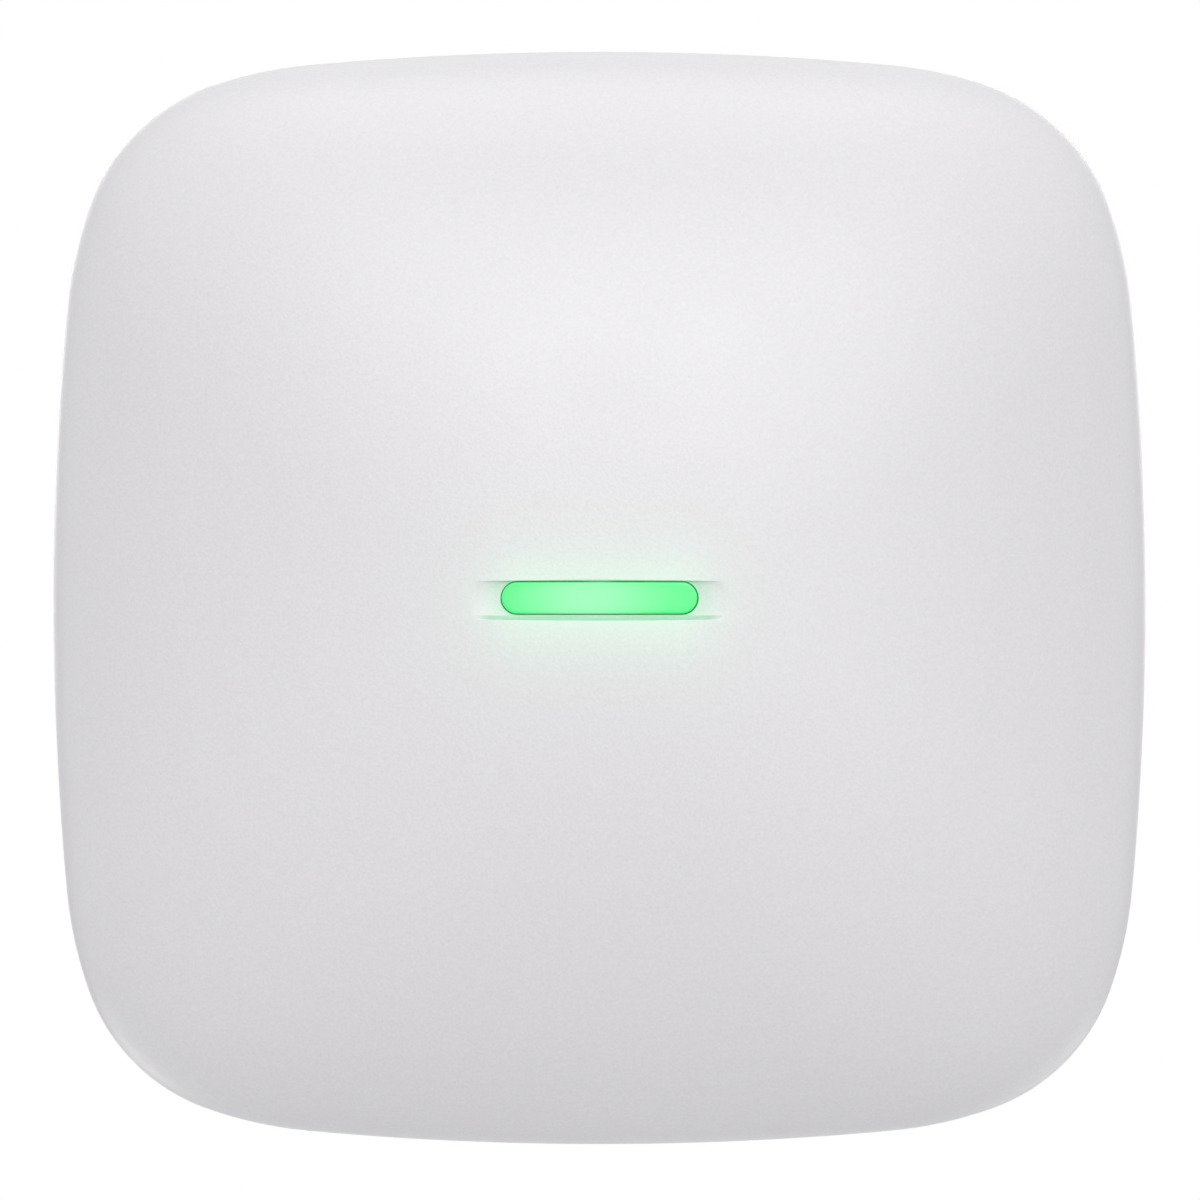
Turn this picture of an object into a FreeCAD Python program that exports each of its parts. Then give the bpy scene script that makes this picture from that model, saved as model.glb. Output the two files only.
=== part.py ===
# Wall-hung repeater for wireless alarm signals: a white pillow-shaped case on a slide-off bracket.
import FreeCAD
import Part
import math
import os

# Everything is drawn lying on its back, in millimetres: x to the right as seen from the front,
# y up the wall and z out of the wall, with z = 0 on the wall. save() stands each piece up, so that
# the finished part has +Z up, its front towards -Y and the wall in the plane Y = 0.

# Every cutting solid runs this far past the faces that it cuts through, and an edge counts as flat
# when it is thinner than the limit.
OVERCUT = 1.0
FLAT_EDGE_LIMIT = 0.01

# Outline of the case, seen from the front: flat side arcs, shoulder arcs and corner arcs, all tangent.
HALF_SIDE = 81.5
SIDE_RADIUS = 475.0
SIDE_HALF_TURN = math.radians(5.25)
SHOULDER_RADIUS = 62.3
SHOULDER_TURN = math.radians(14.3)

# Case, from the wall forwards.
CASE_DEPTH = 36.0
SEAM_Z = 12.0
SEAM_GAP = 0.35
BACK_RIM_Z = 0.6
BACK_INSET = 11.0
BACK_RIM_WIDTH = 8.0
COVER_WALL = 2.4
HOUSING_WALL = 2.2
DOME_SPREAD = 2.3
DOME_RISE = 2.0
DOME_STEPS = 16
DOME_TIP_SHARE = 0.04
DOME_ROUNDNESS = 0.75
BACK_STEPS = 6
LIP_THICKNESS = 1.0
LIP_HEIGHT = 1.6
LIP_ROOT = 1.0
LIP_CLEARANCE = 0.15
LIP_END_CLEARANCE = 0.3

# Wall bracket and its slide. The case lifts SLIDE_TRAVEL before the lugs come free.
BRACKET_THICKNESS = 2.4
BRACKET_CLEARANCE = 0.5
BRACKET_GAP = 0.4
BRACKET_CORNER = 17.5
SLIDE_TRAVEL = 11.0
LUG_EDGE_DISTANCE = 6.0
LUG_UPPER_Y = 34.0
LUG_LOWER_Y = -16.0
LUG_STEM_WIDTH = 5.0
LUG_LENGTH = 6.0
LUG_ROOT_Z = 1.0
LUG_HEAD_WIDTH = 9.0
LUG_HEAD_THICKNESS = 1.6
LUG_CLEARANCE = 0.3
LUG_ENTRY_SLACK = 0.5
LUG_POCKET_WALL = 1.2
CABLE_CUTOUT_MARGIN = 4.0
CABLE_CUTOUT_CORNER = 8.0
WALL_SCREW_X = 38.0
WALL_SCREW_FROM_TOP = 12.0
WALL_SCREW_LOWER_Y = -34.0
WALL_SCREW_HOLE_RADIUS = 2.1
WALL_SCREW_SLOT_LENGTH = 8.0
WALL_SCREW_HEAD_RADIUS = 4.0
COUNTERSINK_DEPTH = 1.5
BRACKET_WINDOW_WIDTH = 16.0
BRACKET_WINDOW_HEIGHT = 16.0
BRACKET_WINDOW_FROM_LUG = 21.0
BRACKET_WINDOW_Y = -9.0
BRACKET_WINDOW_CORNER = 4.0
BRACKET_EDGE_ROUND = 0.5

# Breakaway tab: screwed to the wall by itself, it presses the tamper button.
TAB_WIDTH = 30.0
TAB_BELOW_TAMPER = 20.0
TAB_ABOVE_RAMP = 3.0
TAB_SLIT = 1.2
TAB_BRIDGE = 1.6
TAB_BRIDGE_PLACES = (0.25, 0.75)
TAB_SCREW_BELOW_TAMPER = 12.0

# Tamper button, spring and switch.
TAMPER_X = 0.0
TAMPER_Y = 36.0
TAMPER_TRAVEL = 1.2
TAMPER_ROD_RADIUS = 1.9
TAMPER_TIP_GAP = 0.3
TAMPER_FLANGE_RADIUS = 3.6
TAMPER_FLANGE_THICKNESS = 1.0
TAMPER_FLANGE_Z = 6.8
TAMPER_TIP_CHAMFER = 0.2
BUTTON_GUIDE_WALL = 1.3
TAMPER_GUIDE_TOP_Z = 13.0
TAMPER_RAMP_MARGIN = 0.5
SPRING_WIRE = 0.4
SPRING_MEAN_RADIUS = 2.7
SPRING_TURNS = 6
TAMPER_SWITCH_SIDE = 6.5
TAMPER_SWITCH_HEIGHT = 4.8
SWITCH_ACTUATOR_RADIUS = 1.2
SWITCH_ACTUATOR_LENGTH = 1.0

# Power button and switch.
POWER_X = 28.0
POWER_Y = 36.0
POWER_TRAVEL = 1.0
POWER_CAP_RADIUS = 4.6
POWER_CAP_SUNK = 0.2
POWER_FLANGE_EXTRA = 1.0
POWER_FLANGE_THICKNESS = 1.0
POWER_FLANGE_GAP = 0.2
POWER_STEM_RADIUS = 2.0
POWER_GUIDE_HEIGHT = 3.5
POWER_DISH_DEPTH = 0.5
POWER_DISH_WIDTH = 7.6
POWER_SWITCH_SIDE = 6.0
POWER_SWITCH_HEIGHT = 3.7
POWER_PLUNGER_RADIUS = 1.75
POWER_PLUNGER_SHOWN = 1.6
POWER_PLUNGER_SUNK = 0.7
POWER_HOLE_IN_BRACKET = 7.0
SLIDING_CLEARANCE = 0.15

# Indicator window in the middle of the cover: a plain round-ended bar.
WINDOW_LENGTH = 28.6
WINDOW_HEIGHT = 4.6
WINDOW_CLEARANCE = 0.16
WINDOW_FLANGE_EXTRA = 2.2
WINDOW_FLANGE_THICKNESS = 1.1
WINDOW_PROUD = 0.1
WINDOW_CROWN_RADIUS = 480.0
DISH_FLOOR_BORDER = 0.25
DISH_DROP = 0.35
DISH_SIDE_RUN = 0.4
DISH_END_RUN = 9.4
DISH_DEPTH = 0.75
DISH_MOUTH_SHARE = 2.0
WINDOW_SEAT_THICKNESS = 2.25
WINDOW_SEAT_BORDER = 1.2

# Light guide between the lamps on the main board and the window.
GUIDE_BORDER = 0.1
GUIDE_CLEARANCE = 0.2
GUIDE_TOP_GAP = 0.3
SHROUD_WALL = 2.0
SHROUD_LAMP_WELL = 1.6
SHROUD_LEDGE = 0.75
SHROUD_PEG_RADIUS = 0.9
SHROUD_PEG_LENGTH = 2.4
LAMP_PITCH = 9.0
LAMP_WIDTH = 3.2
LAMP_DEPTH = 2.8
LAMP_HEIGHT = 0.9
LAMP_COUNT = 3

# Main board and what holds it.
BOARD_THICKNESS = 1.6
MAIN_BOARD_Z = 21.0
MAIN_BOARD_FROM_CELL = 2.8
MAIN_BOARD_SIDE_MARGIN = 39.5
MAIN_BOARD_BOTTOM = -8.0
MAIN_BOARD_TOP_MARGIN = 19.5
BOARD_CORNER = 3.0
BOARD_BOSS_RADIUS = 3.0
BOARD_SCREW_RADIUS = 0.95
BOARD_SCREW_BITE = 6.0
BOARD_SCREW_HEAD_RADIUS = 2.0
BOARD_SCREW_HEAD_HEIGHT = 1.3
SCREW_HOLE_CLEARANCE = 0.05
BOARD_HOLE_CLEARANCE = 0.25
MAIN_BOARD_SCREW_INSET = 5.0
MAIN_BOARD_SIDE_SCREW_Y = 22.0

# Parts on the front of the main board.
SHIELD_WALL = 0.3
SHIELD_HEIGHT = 3.0
SHIELD_CORNER = 1.0
LEFT_SHIELD_FROM_EDGE = 8.0
LEFT_SHIELD_BOTTOM = 12.0
LEFT_SHIELD_WIDTH = 20.0
LEFT_SHIELD_LENGTH = 15.0
RIGHT_SHIELD = (12.3, 16.0, 14.0, 12.0)
PROCESSOR_SIDE = 12.0
PROCESSOR_X = 12.0
PROCESSOR_Y = 35.0
CHIP_HEIGHT = 1.4
RADIO_CHIP_SIDE = 6.0
SMALL_PART_COUNT = 6
SMALL_PART_GAP = 4.0
SMALL_PART_PITCH = 2.0
SMALL_PART_LENGTH = 2.0
SMALL_PART_WIDTH = 1.2
SMALL_PART_HEIGHT = 0.8
ANTENNA_SHEET = 0.5
ANTENNA_BELOW_TOP = 11.5
ANTENNA_LEFT_MARGIN = 3.0
ANTENNA_RIGHT_MARGIN = 6.0
ANTENNA_SPACING = 3.0
ANTENNA_CEILING_GAP = 1.2
ANTENNA_BAR_SHARE = 0.5
ANTENNA_LEG_WIDTH = 2.0
ANTENNA_LEG_PITCH = 6.0

# Mains side: power board, inlet, and the pocket for the plug.
POWER_BOARD_STAND_OFF = 1.5
POWER_BOARD_RIGHT = 41.4
POWER_BOARD_POCKET_GAP = 1.6
POWER_BOARD_LEFT = -14.0
POWER_BOARD_BOTTOM = -40.0
POWER_BOARD_ARM_BOTTOM = -8.0
POWER_BOARD_TOP = 16.0
POWER_BOARD_SCREW_INSET = 3.5
POWER_BOARD_SIDE_SCREW_INSET = 6.5
PLUG_POCKET_HALF_WIDTH = 13.0
PLUG_POCKET_TOP_Y = -12.0
PLUG_POCKET_BOTTOM_Y = -60.0
PLUG_POCKET_HEADROOM = 0.25
PLUG_POCKET_WALL = 1.6
PLUG_POCKET_CORNER = 3.0
CABLE_OUTLET_WIDTH = 9.0
CABLE_OUTLET_Z = 8.5
INLET_WIDTH = 23.0
INLET_NOSE_WIDTH = 19.0
INLET_BODY_HEIGHT = 10.9
INLET_NOSE_HEIGHT = 9.4
INLET_BODY_LENGTH = 17.4
INLET_SOCKET_DEPTH = 10.5
INLET_SOCKET_RADIUS = 4.1
INLET_SOCKET_SPACING = 3.2
INLET_PIN_X = 4.3
INLET_PIN_RADIUS = 1.2
INLET_PIN_SHORT_OF_MOUTH = 1.6
INLET_PIN_ROOT = 2.4
INLET_TAIL_SIDE = 1.0
INLET_TAIL_Y = 3.6
INLET_TAIL_DROP = 0.9

# Parts on the power board: name, left, bottom, width, length and height.
TRANSFORMER = (18.0, -30.5, 22.0, 20.0, 16.0)
TRANSFORMER_CORE_LENGTH = 15.0
TRANSFORMER_FOOT = 3.0
TRANSFORMER_WINDING_INSET = 2.0
TRANSFORMER_CORNER = 2.0
FILTER_CAPACITOR = (17.0, -7.6, 13.0, 6.0, 10.4)
FUSE = (17.2, 0.2, 8.4, 4.2, 8.0)
RECTIFIER = (31.5, -6.5, 5.0, 4.4, 2.6)
BLOCK_CORNER = 0.6
FUSE_CORNER = 1.5
CAPACITOR_EDGE = 0.5
CAPACITOR_GROOVE_PLACE = 2.2
CAPACITOR_GROOVE_RADIUS = 0.6
CAPACITOR_GROOVE_DEPTH = 0.35
SUPPRESSOR_EDGE = 0.8
SUPPRESSOR_RADIUS = 3.6
SUPPRESSOR_THICKNESS = 3.2
SUPPRESSOR_X = 20.8
SUPPRESSOR_Y = 6.2
BULK_CAPACITOR_RADIUS = 4.0
BULK_CAPACITOR_LENGTH = 16.0
BULK_CAPACITOR_LEFT = 19.0
BULK_CAPACITOR_Y = -35.2
OUTPUT_CAPACITOR_RADIUS = 3.6
OUTPUT_CAPACITOR_HEIGHT = 10.8
OUTPUT_CAPACITOR_X = 35.0
OUTPUT_CAPACITOR_Y = 2.6

# Insulating barrier folded from sheet, over the mains side.
BARRIER_SHEET = 0.6
BARRIER_LEFT = -15.4
BARRIER_RIGHT = 43.4
BARRIER_BOTTOM = -8.0
BARRIER_TOP = 17.5
BARRIER_GAP = 0.4
BARRIER_NOTCH_MARGIN = 1.5

# Pins that link the two boards.
LINK_PITCH = 2.54
LINK_COUNT = 4
LINK_FIRST_X = 24.0
LINK_Y = 12.6
LINK_PIN_RADIUS = 0.4
LINK_BASE_HEIGHT = 2.5
LINK_BASE_WIDTH = 2.5
LINK_PIN_ABOVE = 1.0

# Battery cell on a foam pad, between two cradle ribs and under a strap.
CELL_RADIUS = 9.2
CELL_LENGTH = 65.0
CELL_FROM_LUG = 18.0
CELL_BOTTOM_Y = -39.0
CELL_EDGE = 0.6
CELL_NUB_RADIUS = 3.0
CELL_NUB_LENGTH = 1.0
CELL_CAP_RADIUS = 8.4
CELL_CAP_THICKNESS = 1.0
PAD_THICKNESS = 0.8
PAD_WIDTH = 9.0
PAD_LENGTH = 34.0
CRADLE_CLEARANCE = 0.2
CRADLE_RIB = 1.6
CRADLE_WIDTH = 23.0
CRADLE_TOP_Z = 12.5
CRADLE_INSET_FROM_END = 10.0
STRAP_SHEET = 0.7
STRAP_WIDTH = 12.0
STRAP_CLEARANCE = 0.05

# Battery lead and its connector on the main board.
LEAD_DIAMETER = 1.4
LEAD_SPACING = 2.8
LEAD_START_LEFT = 2.0
LEAD_START_ABOVE = 3.0
LEAD_FIRST_RUN = 4.0
LEAD_CREST_LEFT = 0.5
LEAD_CREST_ABOVE = 6.5
LEAD_LAST_RUN = 4.5
BEND_SHARE = 0.45
SOCKET_FROM_BOARD_EDGE = 1.0
SOCKET_BELOW_ANTENNA = 6.0
SOCKET_LENGTH = 6.5
SOCKET_WIDTH = 7.4
SOCKET_HEIGHT = 3.8
SOCKET_WALL = 0.7
PLUG_LENGTH = 7.0
PLUG_CLEARANCE = 0.1

# Case screws, from the back, under the bracket.
CASE_SCREW_FROM_SIDE = 14.0
CASE_SCREW_FROM_TOP = 10.0
CASE_SCREW_FROM_RECESS_END = 10.0
CASE_SCREW_RADIUS = 1.45
CASE_SCREW_HEAD_RADIUS = 2.9
CASE_SCREW_HEAD_HEIGHT = 2.2
CASE_SCREW_HEAD_SUNK = 0.6
CASE_SCREW_BITE = 8.0
CASE_SCREW_TIP_ROOM = 1.0
DRIVER_REACH_SHARE = 0.62
DRIVER_WIDTH_SHARE = 0.14
DRIVER_DEPTH_SHARE = 0.4
CASE_SCREW_HOLE_SLACK = 0.25
CASE_SCREW_HEAD_SLACK = 0.3
CASE_BOSS_RADIUS = 4.2
PILLAR_RADIUS = 3.6
PILLAR_FOOT_Z = 16.0

# Cover ribs and the blank label.
COVER_RIB = 1.2
COVER_RIB_HEIGHT = 2.4
COVER_RIB_START = 22.0
COVER_RIB_FROM_SIDE = 33.5
LABEL_WIDTH = 24.0
LABEL_HEIGHT = 24.0
LABEL_THICKNESS = 0.15
LABEL_RECESS = 0.2
LABEL_CLEARANCE = 0.3

# Places that follow from the sizes above.
COVER_RIB_END = HALF_SIDE - COVER_RIB_FROM_SIDE
RECESS_HALF = HALF_SIDE - BACK_INSET - BACK_RIM_WIDTH
RECESS_FLOOR_Z = BRACKET_THICKNESS + BRACKET_GAP
FLOOR_Z = RECESS_FLOOR_Z + HOUSING_WALL
BRACKET_HALF_WIDTH = RECESS_HALF - BRACKET_CLEARANCE
BRACKET_TOP = RECESS_HALF - BRACKET_CLEARANCE
BRACKET_BOTTOM = -RECESS_HALF + BRACKET_CLEARANCE + SLIDE_TRAVEL
LUG_X = BRACKET_HALF_WIDTH - LUG_EDGE_DISTANCE
LUG_HEAD_Z = FLOOR_Z + LUG_CLEARANCE
BRACKET_WINDOW_X = LUG_X - BRACKET_WINDOW_FROM_LUG
WALL_SCREW_UPPER_Y = BRACKET_TOP - WALL_SCREW_FROM_TOP
CELL_X = CELL_FROM_LUG - LUG_X
LUG_PLACES = [(side * LUG_X, y) for side in (-1, 1) for y in (LUG_UPPER_Y, LUG_LOWER_Y)]
COVER_BASE_Z = SEAM_Z + SEAM_GAP
WINDOW_SEAT_Z = CASE_DEPTH - DISH_DEPTH - WINDOW_SEAT_THICKNESS
MAIN_BOARD_FRONT_Z = MAIN_BOARD_Z + BOARD_THICKNESS
MAIN_BOARD_LEFT = CELL_X + CELL_RADIUS + MAIN_BOARD_FROM_CELL
MAIN_BOARD_RIGHT = HALF_SIDE - MAIN_BOARD_SIDE_MARGIN
MAIN_BOARD_TOP = HALF_SIDE - MAIN_BOARD_TOP_MARGIN
MAIN_BOARD_SCREWS = [
    (MAIN_BOARD_LEFT + MAIN_BOARD_SCREW_INSET, MAIN_BOARD_TOP - MAIN_BOARD_SCREW_INSET),
    (MAIN_BOARD_RIGHT - MAIN_BOARD_SCREW_INSET, MAIN_BOARD_TOP - MAIN_BOARD_SCREW_INSET),
    (MAIN_BOARD_LEFT + MAIN_BOARD_SCREW_INSET, MAIN_BOARD_SIDE_SCREW_Y),
    (MAIN_BOARD_RIGHT - MAIN_BOARD_SCREW_INSET, MAIN_BOARD_SIDE_SCREW_Y),
]
SHIELDS = [
    (MAIN_BOARD_LEFT + LEFT_SHIELD_FROM_EDGE, LEFT_SHIELD_BOTTOM, LEFT_SHIELD_WIDTH, LEFT_SHIELD_LENGTH),
    RIGHT_SHIELD,
]
ANTENNA_ROOM = MAIN_BOARD_RIGHT - MAIN_BOARD_LEFT - ANTENNA_LEFT_MARGIN - ANTENNA_RIGHT_MARGIN
ANTENNA_LENGTH = (ANTENNA_ROOM - ANTENNA_SPACING) / 2
ANTENNA_LEFT_START = MAIN_BOARD_LEFT + ANTENNA_LEFT_MARGIN
ANTENNA_RIGHT_START = ANTENNA_LEFT_START + ANTENNA_LENGTH + ANTENNA_SPACING
ANTENNA_Y = MAIN_BOARD_TOP - ANTENNA_BELOW_TOP
POWER_BOARD_Z = FLOOR_Z + POWER_BOARD_STAND_OFF
POWER_BOARD_FRONT_Z = POWER_BOARD_Z + BOARD_THICKNESS
POWER_BOARD_STEP_X = PLUG_POCKET_HALF_WIDTH + PLUG_POCKET_WALL + POWER_BOARD_POCKET_GAP
POWER_BOARD_SCREWS = [
    (POWER_BOARD_RIGHT - POWER_BOARD_SCREW_INSET, POWER_BOARD_TOP - POWER_BOARD_SIDE_SCREW_INSET),
    (POWER_BOARD_RIGHT - POWER_BOARD_SCREW_INSET, POWER_BOARD_BOTTOM + POWER_BOARD_SCREW_INSET),
    (POWER_BOARD_LEFT + POWER_BOARD_SCREW_INSET, POWER_BOARD_TOP - POWER_BOARD_SCREW_INSET),
]
SOCKET_LEFT = MAIN_BOARD_LEFT + SOCKET_FROM_BOARD_EDGE
SOCKET_Y = ANTENNA_Y - SOCKET_BELOW_ANTENNA
CELL_Z = FLOOR_Z + PAD_THICKNESS + CELL_RADIUS
INLET_Z = POWER_BOARD_FRONT_Z + INLET_BODY_HEIGHT / 2
PLUG_POCKET_CEILING_Z = INLET_Z + INLET_NOSE_HEIGHT / 2 + PLUG_POCKET_HEADROOM
BARRIER_Z = POWER_BOARD_FRONT_Z + INLET_BODY_HEIGHT + BARRIER_GAP
CASE_SCREW_X = BRACKET_HALF_WIDTH - CASE_SCREW_FROM_SIDE
CASE_SCREW_UPPER_Y = BRACKET_TOP - CASE_SCREW_FROM_TOP
CASE_SCREW_LOWER_Y = CASE_SCREW_FROM_RECESS_END - RECESS_HALF
CASE_SCREWS = [
    (side * CASE_SCREW_X, y) for side in (-1, 1) for y in (CASE_SCREW_UPPER_Y, CASE_SCREW_LOWER_Y)
]
TAMPER_SWITCH_Z = MAIN_BOARD_Z - TAMPER_SWITCH_HEIGHT
POWER_SWITCH_Z = MAIN_BOARD_Z - POWER_SWITCH_HEIGHT


def point(x, y, z):
    return FreeCAD.Vector(x, y, z)


def box(left, right, bottom, top, back, front):
    return Part.makeBox(right - left, top - bottom, front - back, point(left, bottom, back))


def rod(x, y, back, front, radius):
    return Part.makeCylinder(radius, front - back, point(x, y, back))


def rounded_box(left, right, bottom, top, back, front, corner):
    solid = box(left, right, bottom, top, back, front)
    upright = [e for e in solid.Edges if abs(e.Vertexes[0].Z - e.Vertexes[1].Z) > (front - back) / 2]
    return solid.makeFillet(corner, upright)


def flat_edges(solid, size_name):
    """The edges that lie square to one axis: size_name is that axis's size in a bounding box."""
    return [e for e in solid.Edges if getattr(e.BoundBox, size_name) < FLAT_EDGE_LIMIT]


def bar_wire(length, height, z, x=0.0, y=0.0):
    """Outline of a bar with round ends."""
    half_run = (length - height) / 2
    radius = height / 2
    edges = [
        Part.LineSegment(point(x - half_run, y - radius, z), point(x + half_run, y - radius, z)).toShape(),
        Part.Arc(
            point(x + half_run, y - radius, z),
            point(x + half_run + radius, y, z),
            point(x + half_run, y + radius, z),
        ).toShape(),
        Part.LineSegment(point(x + half_run, y + radius, z), point(x - half_run, y + radius, z)).toShape(),
        Part.Arc(
            point(x - half_run, y + radius, z),
            point(x - half_run - radius, y, z),
            point(x - half_run, y - radius, z),
        ).toShape(),
    ]
    return Part.Wire(edges)


def bar(length, height, back, front, x=0.0, y=0.0):
    return Part.Face(bar_wire(length, height, back, x, y)).extrude(point(0, 0, front - back))


def joined(first, others):
    for other in others:
        first = first.fuse(other)
    return first


def drilled(first, others):
    for other in others:
        first = first.cut(other)
    return first


def save(name, solids):
    """Stands the piece up, front towards -Y, and writes it as one STEP file."""
    shape = solids[0] if len(solids) == 1 else Part.makeCompound(solids)
    shape = shape.copy()
    shape.rotate(point(0, 0, 0), point(1, 0, 0), 90)
    shape.exportStep("parts/" + name + ".step")
    volume = sum(s.Volume for s in shape.Solids)
    valid = all(s.isValid() for s in shape.Solids)
    print(name, "solids", len(shape.Solids), "volume", round(volume, 1), "valid", valid)


# Outline and shells of the case.


def outline_arcs():
    """Centre, radius and end angles of the arcs in the first quarter of the outline."""
    side_centre = (HALF_SIDE - SIDE_RADIUS, 0.0)
    reach = SIDE_RADIUS - SHOULDER_RADIUS
    shoulder_x = side_centre[0] + reach * math.cos(SIDE_HALF_TURN)
    shoulder_y = reach * math.sin(SIDE_HALF_TURN)
    corner_start = SIDE_HALF_TURN + SHOULDER_TURN
    # The corner arc's centre lies on the diagonal, so that the four sides match.
    step = (shoulder_y - shoulder_x) / (math.cos(corner_start) - math.sin(corner_start))
    corner_place = shoulder_x + step * math.cos(corner_start)
    quarter = math.pi / 2
    return [
        (side_centre, SIDE_RADIUS, -SIDE_HALF_TURN, SIDE_HALF_TURN),
        ((shoulder_x, shoulder_y), SHOULDER_RADIUS, SIDE_HALF_TURN, corner_start),
        ((corner_place, corner_place), SHOULDER_RADIUS - step, corner_start, quarter - corner_start),
        ((shoulder_y, shoulder_x), SHOULDER_RADIUS, quarter - corner_start, quarter - SIDE_HALF_TURN),
    ]


def outline(share, inset, z):
    """The case's outline, shrunk to a share of its size and then moved inwards by an inset."""
    edges = []
    for turn in range(4):
        cosine = round(math.cos(turn * math.pi / 2))
        sine = round(math.sin(turn * math.pi / 2))
        for (centre_x, centre_y), radius, start, end in outline_arcs():
            reach = share * radius - inset
            places = []
            for angle in (start, (start + end) / 2, end):
                x = share * centre_x + reach * math.cos(angle)
                y = share * centre_y + reach * math.sin(angle)
                places.append(point(cosine * x - sine * y, sine * x + cosine * y, z))
            edges.append(Part.Arc(places[0], places[1], places[2]).toShape())
    return Part.Wire(edges)


def outline_plate(inset, back, front):
    return Part.Face(outline(1.0, inset, back)).extrude(point(0, 0, front - back))


def dome(depth_inside):
    """The pillow shape above the seam, moved inwards by a depth."""
    half = HALF_SIDE - depth_inside
    rise = CASE_DEPTH - depth_inside - COVER_BASE_Z
    last_angle = math.acos(DOME_TIP_SHARE ** (DOME_SPREAD / 2))
    sections = []
    for step in range(DOME_STEPS + 1):
        angle = last_angle * step / DOME_STEPS
        share = math.cos(angle) ** (2 / DOME_SPREAD)
        height = math.sin(angle) ** (2 / DOME_RISE)
        # Towards the middle the sections turn from the case's outline into circles.
        round_part = share * DOME_ROUNDNESS * (1 - share)
        outline_share = (share - round_part) * half / HALF_SIDE
        sections.append(outline(outline_share, -round_part * half, COVER_BASE_Z + rise * height))
    return Part.makeLoft(sections, True, False)


def cover_ceiling(x, y):
    """Height of the cover's inner face over one place."""
    upright = Part.LineSegment(point(x, y, COVER_BASE_Z), point(x, y, CASE_DEPTH)).toShape()
    return upright.common(dome(COVER_WALL)).BoundBox.ZMax


def tray(depth_inside, lowest_z):
    """The rounded back below the seam, moved inwards by a depth and cut off at a height."""
    fall = SEAM_Z - BACK_RIM_Z
    last_angle = math.asin(min(1.0, (SEAM_Z - lowest_z) / fall))
    sections = []
    for step in range(BACK_STEPS + 1):
        angle = last_angle * step / BACK_STEPS
        inset = BACK_INSET * (1 - math.cos(angle)) + depth_inside
        sections.append(outline(1.0, inset, SEAM_Z - fall * math.sin(angle)))
    return Part.makeLoft(sections, True, False)


# Pieces of the outer case.


def front_cover():
    inner = dome(COVER_WALL)
    shell = dome(0.0).cut(inner)
    rebate_inset = HOUSING_WALL - LIP_THICKNESS - LIP_CLEARANCE
    rebate_top = SEAM_Z + LIP_HEIGHT + LIP_END_CLEARANCE
    shell = shell.cut(outline_plate(rebate_inset, COVER_BASE_Z - OVERCUT, rebate_top))
    seat = bar(
        WINDOW_LENGTH + 2 * (WINDOW_FLANGE_EXTRA + WINDOW_SEAT_BORDER),
        WINDOW_HEIGHT + 2 * (WINDOW_FLANGE_EXTRA + WINDOW_SEAT_BORDER),
        WINDOW_SEAT_Z,
        CASE_DEPTH - COVER_WALL / 2 - DISH_DEPTH,
    )
    shell = shell.fuse(seat)
    for x, y in CASE_SCREWS:
        pillar = rod(x, y, PILLAR_FOOT_Z, CASE_DEPTH, PILLAR_RADIUS).common(dome(COVER_WALL / 2))
        shell = shell.fuse(pillar)
    rib_space = inner.cut(dome(COVER_WALL + COVER_RIB_HEIGHT))
    for rib in cover_ribs():
        shell = shell.fuse(rib.common(rib_space))
    hole_radius = CASE_SCREW_RADIUS + SCREW_HOLE_CLEARANCE
    hole_top = PILLAR_FOOT_Z + CASE_SCREW_BITE + CASE_SCREW_TIP_ROOM
    for x, y in CASE_SCREWS:
        shell = shell.cut(rod(x, y, PILLAR_FOOT_Z - OVERCUT, hole_top, hole_radius))
    shell = shell.cut(window_dish())
    hole_length = WINDOW_LENGTH + 2 * WINDOW_CLEARANCE
    hole_height = WINDOW_HEIGHT + 2 * WINDOW_CLEARANCE
    return shell.cut(bar(hole_length, hole_height, WINDOW_SEAT_Z - OVERCUT, CASE_DEPTH + OVERCUT))


def cover_ribs():
    ribs = []
    for side in (-1, 1):
        near = side * COVER_RIB_START
        far = side * COVER_RIB_END
        low, high = min(near, far), max(near, far)
        ribs.append(box(low, high, -COVER_RIB / 2, COVER_RIB / 2, COVER_BASE_Z, CASE_DEPTH))
        ribs.append(box(-COVER_RIB / 2, COVER_RIB / 2, low, high, COVER_BASE_Z, CASE_DEPTH))
    return ribs


def window_dish():
    """The shallow dished recess round the indicator, a little lower, with long run-outs at its two ends."""
    floor_z = CASE_DEPTH - DISH_DEPTH
    border = 2 * DISH_FLOOR_BORDER
    floor = bar_wire(WINDOW_LENGTH + border, WINDOW_HEIGHT + border, floor_z, 0.0, -DISH_DROP)
    share = DISH_MOUTH_SHARE
    mouth = bar_wire(
        WINDOW_LENGTH + border + 2 * share * DISH_END_RUN,
        WINDOW_HEIGHT + border + 2 * share * DISH_SIDE_RUN,
        floor_z + share * DISH_DEPTH,
        0.0,
        -DISH_DROP,
    )
    return Part.makeLoft([floor, mouth], True, True)


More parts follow.
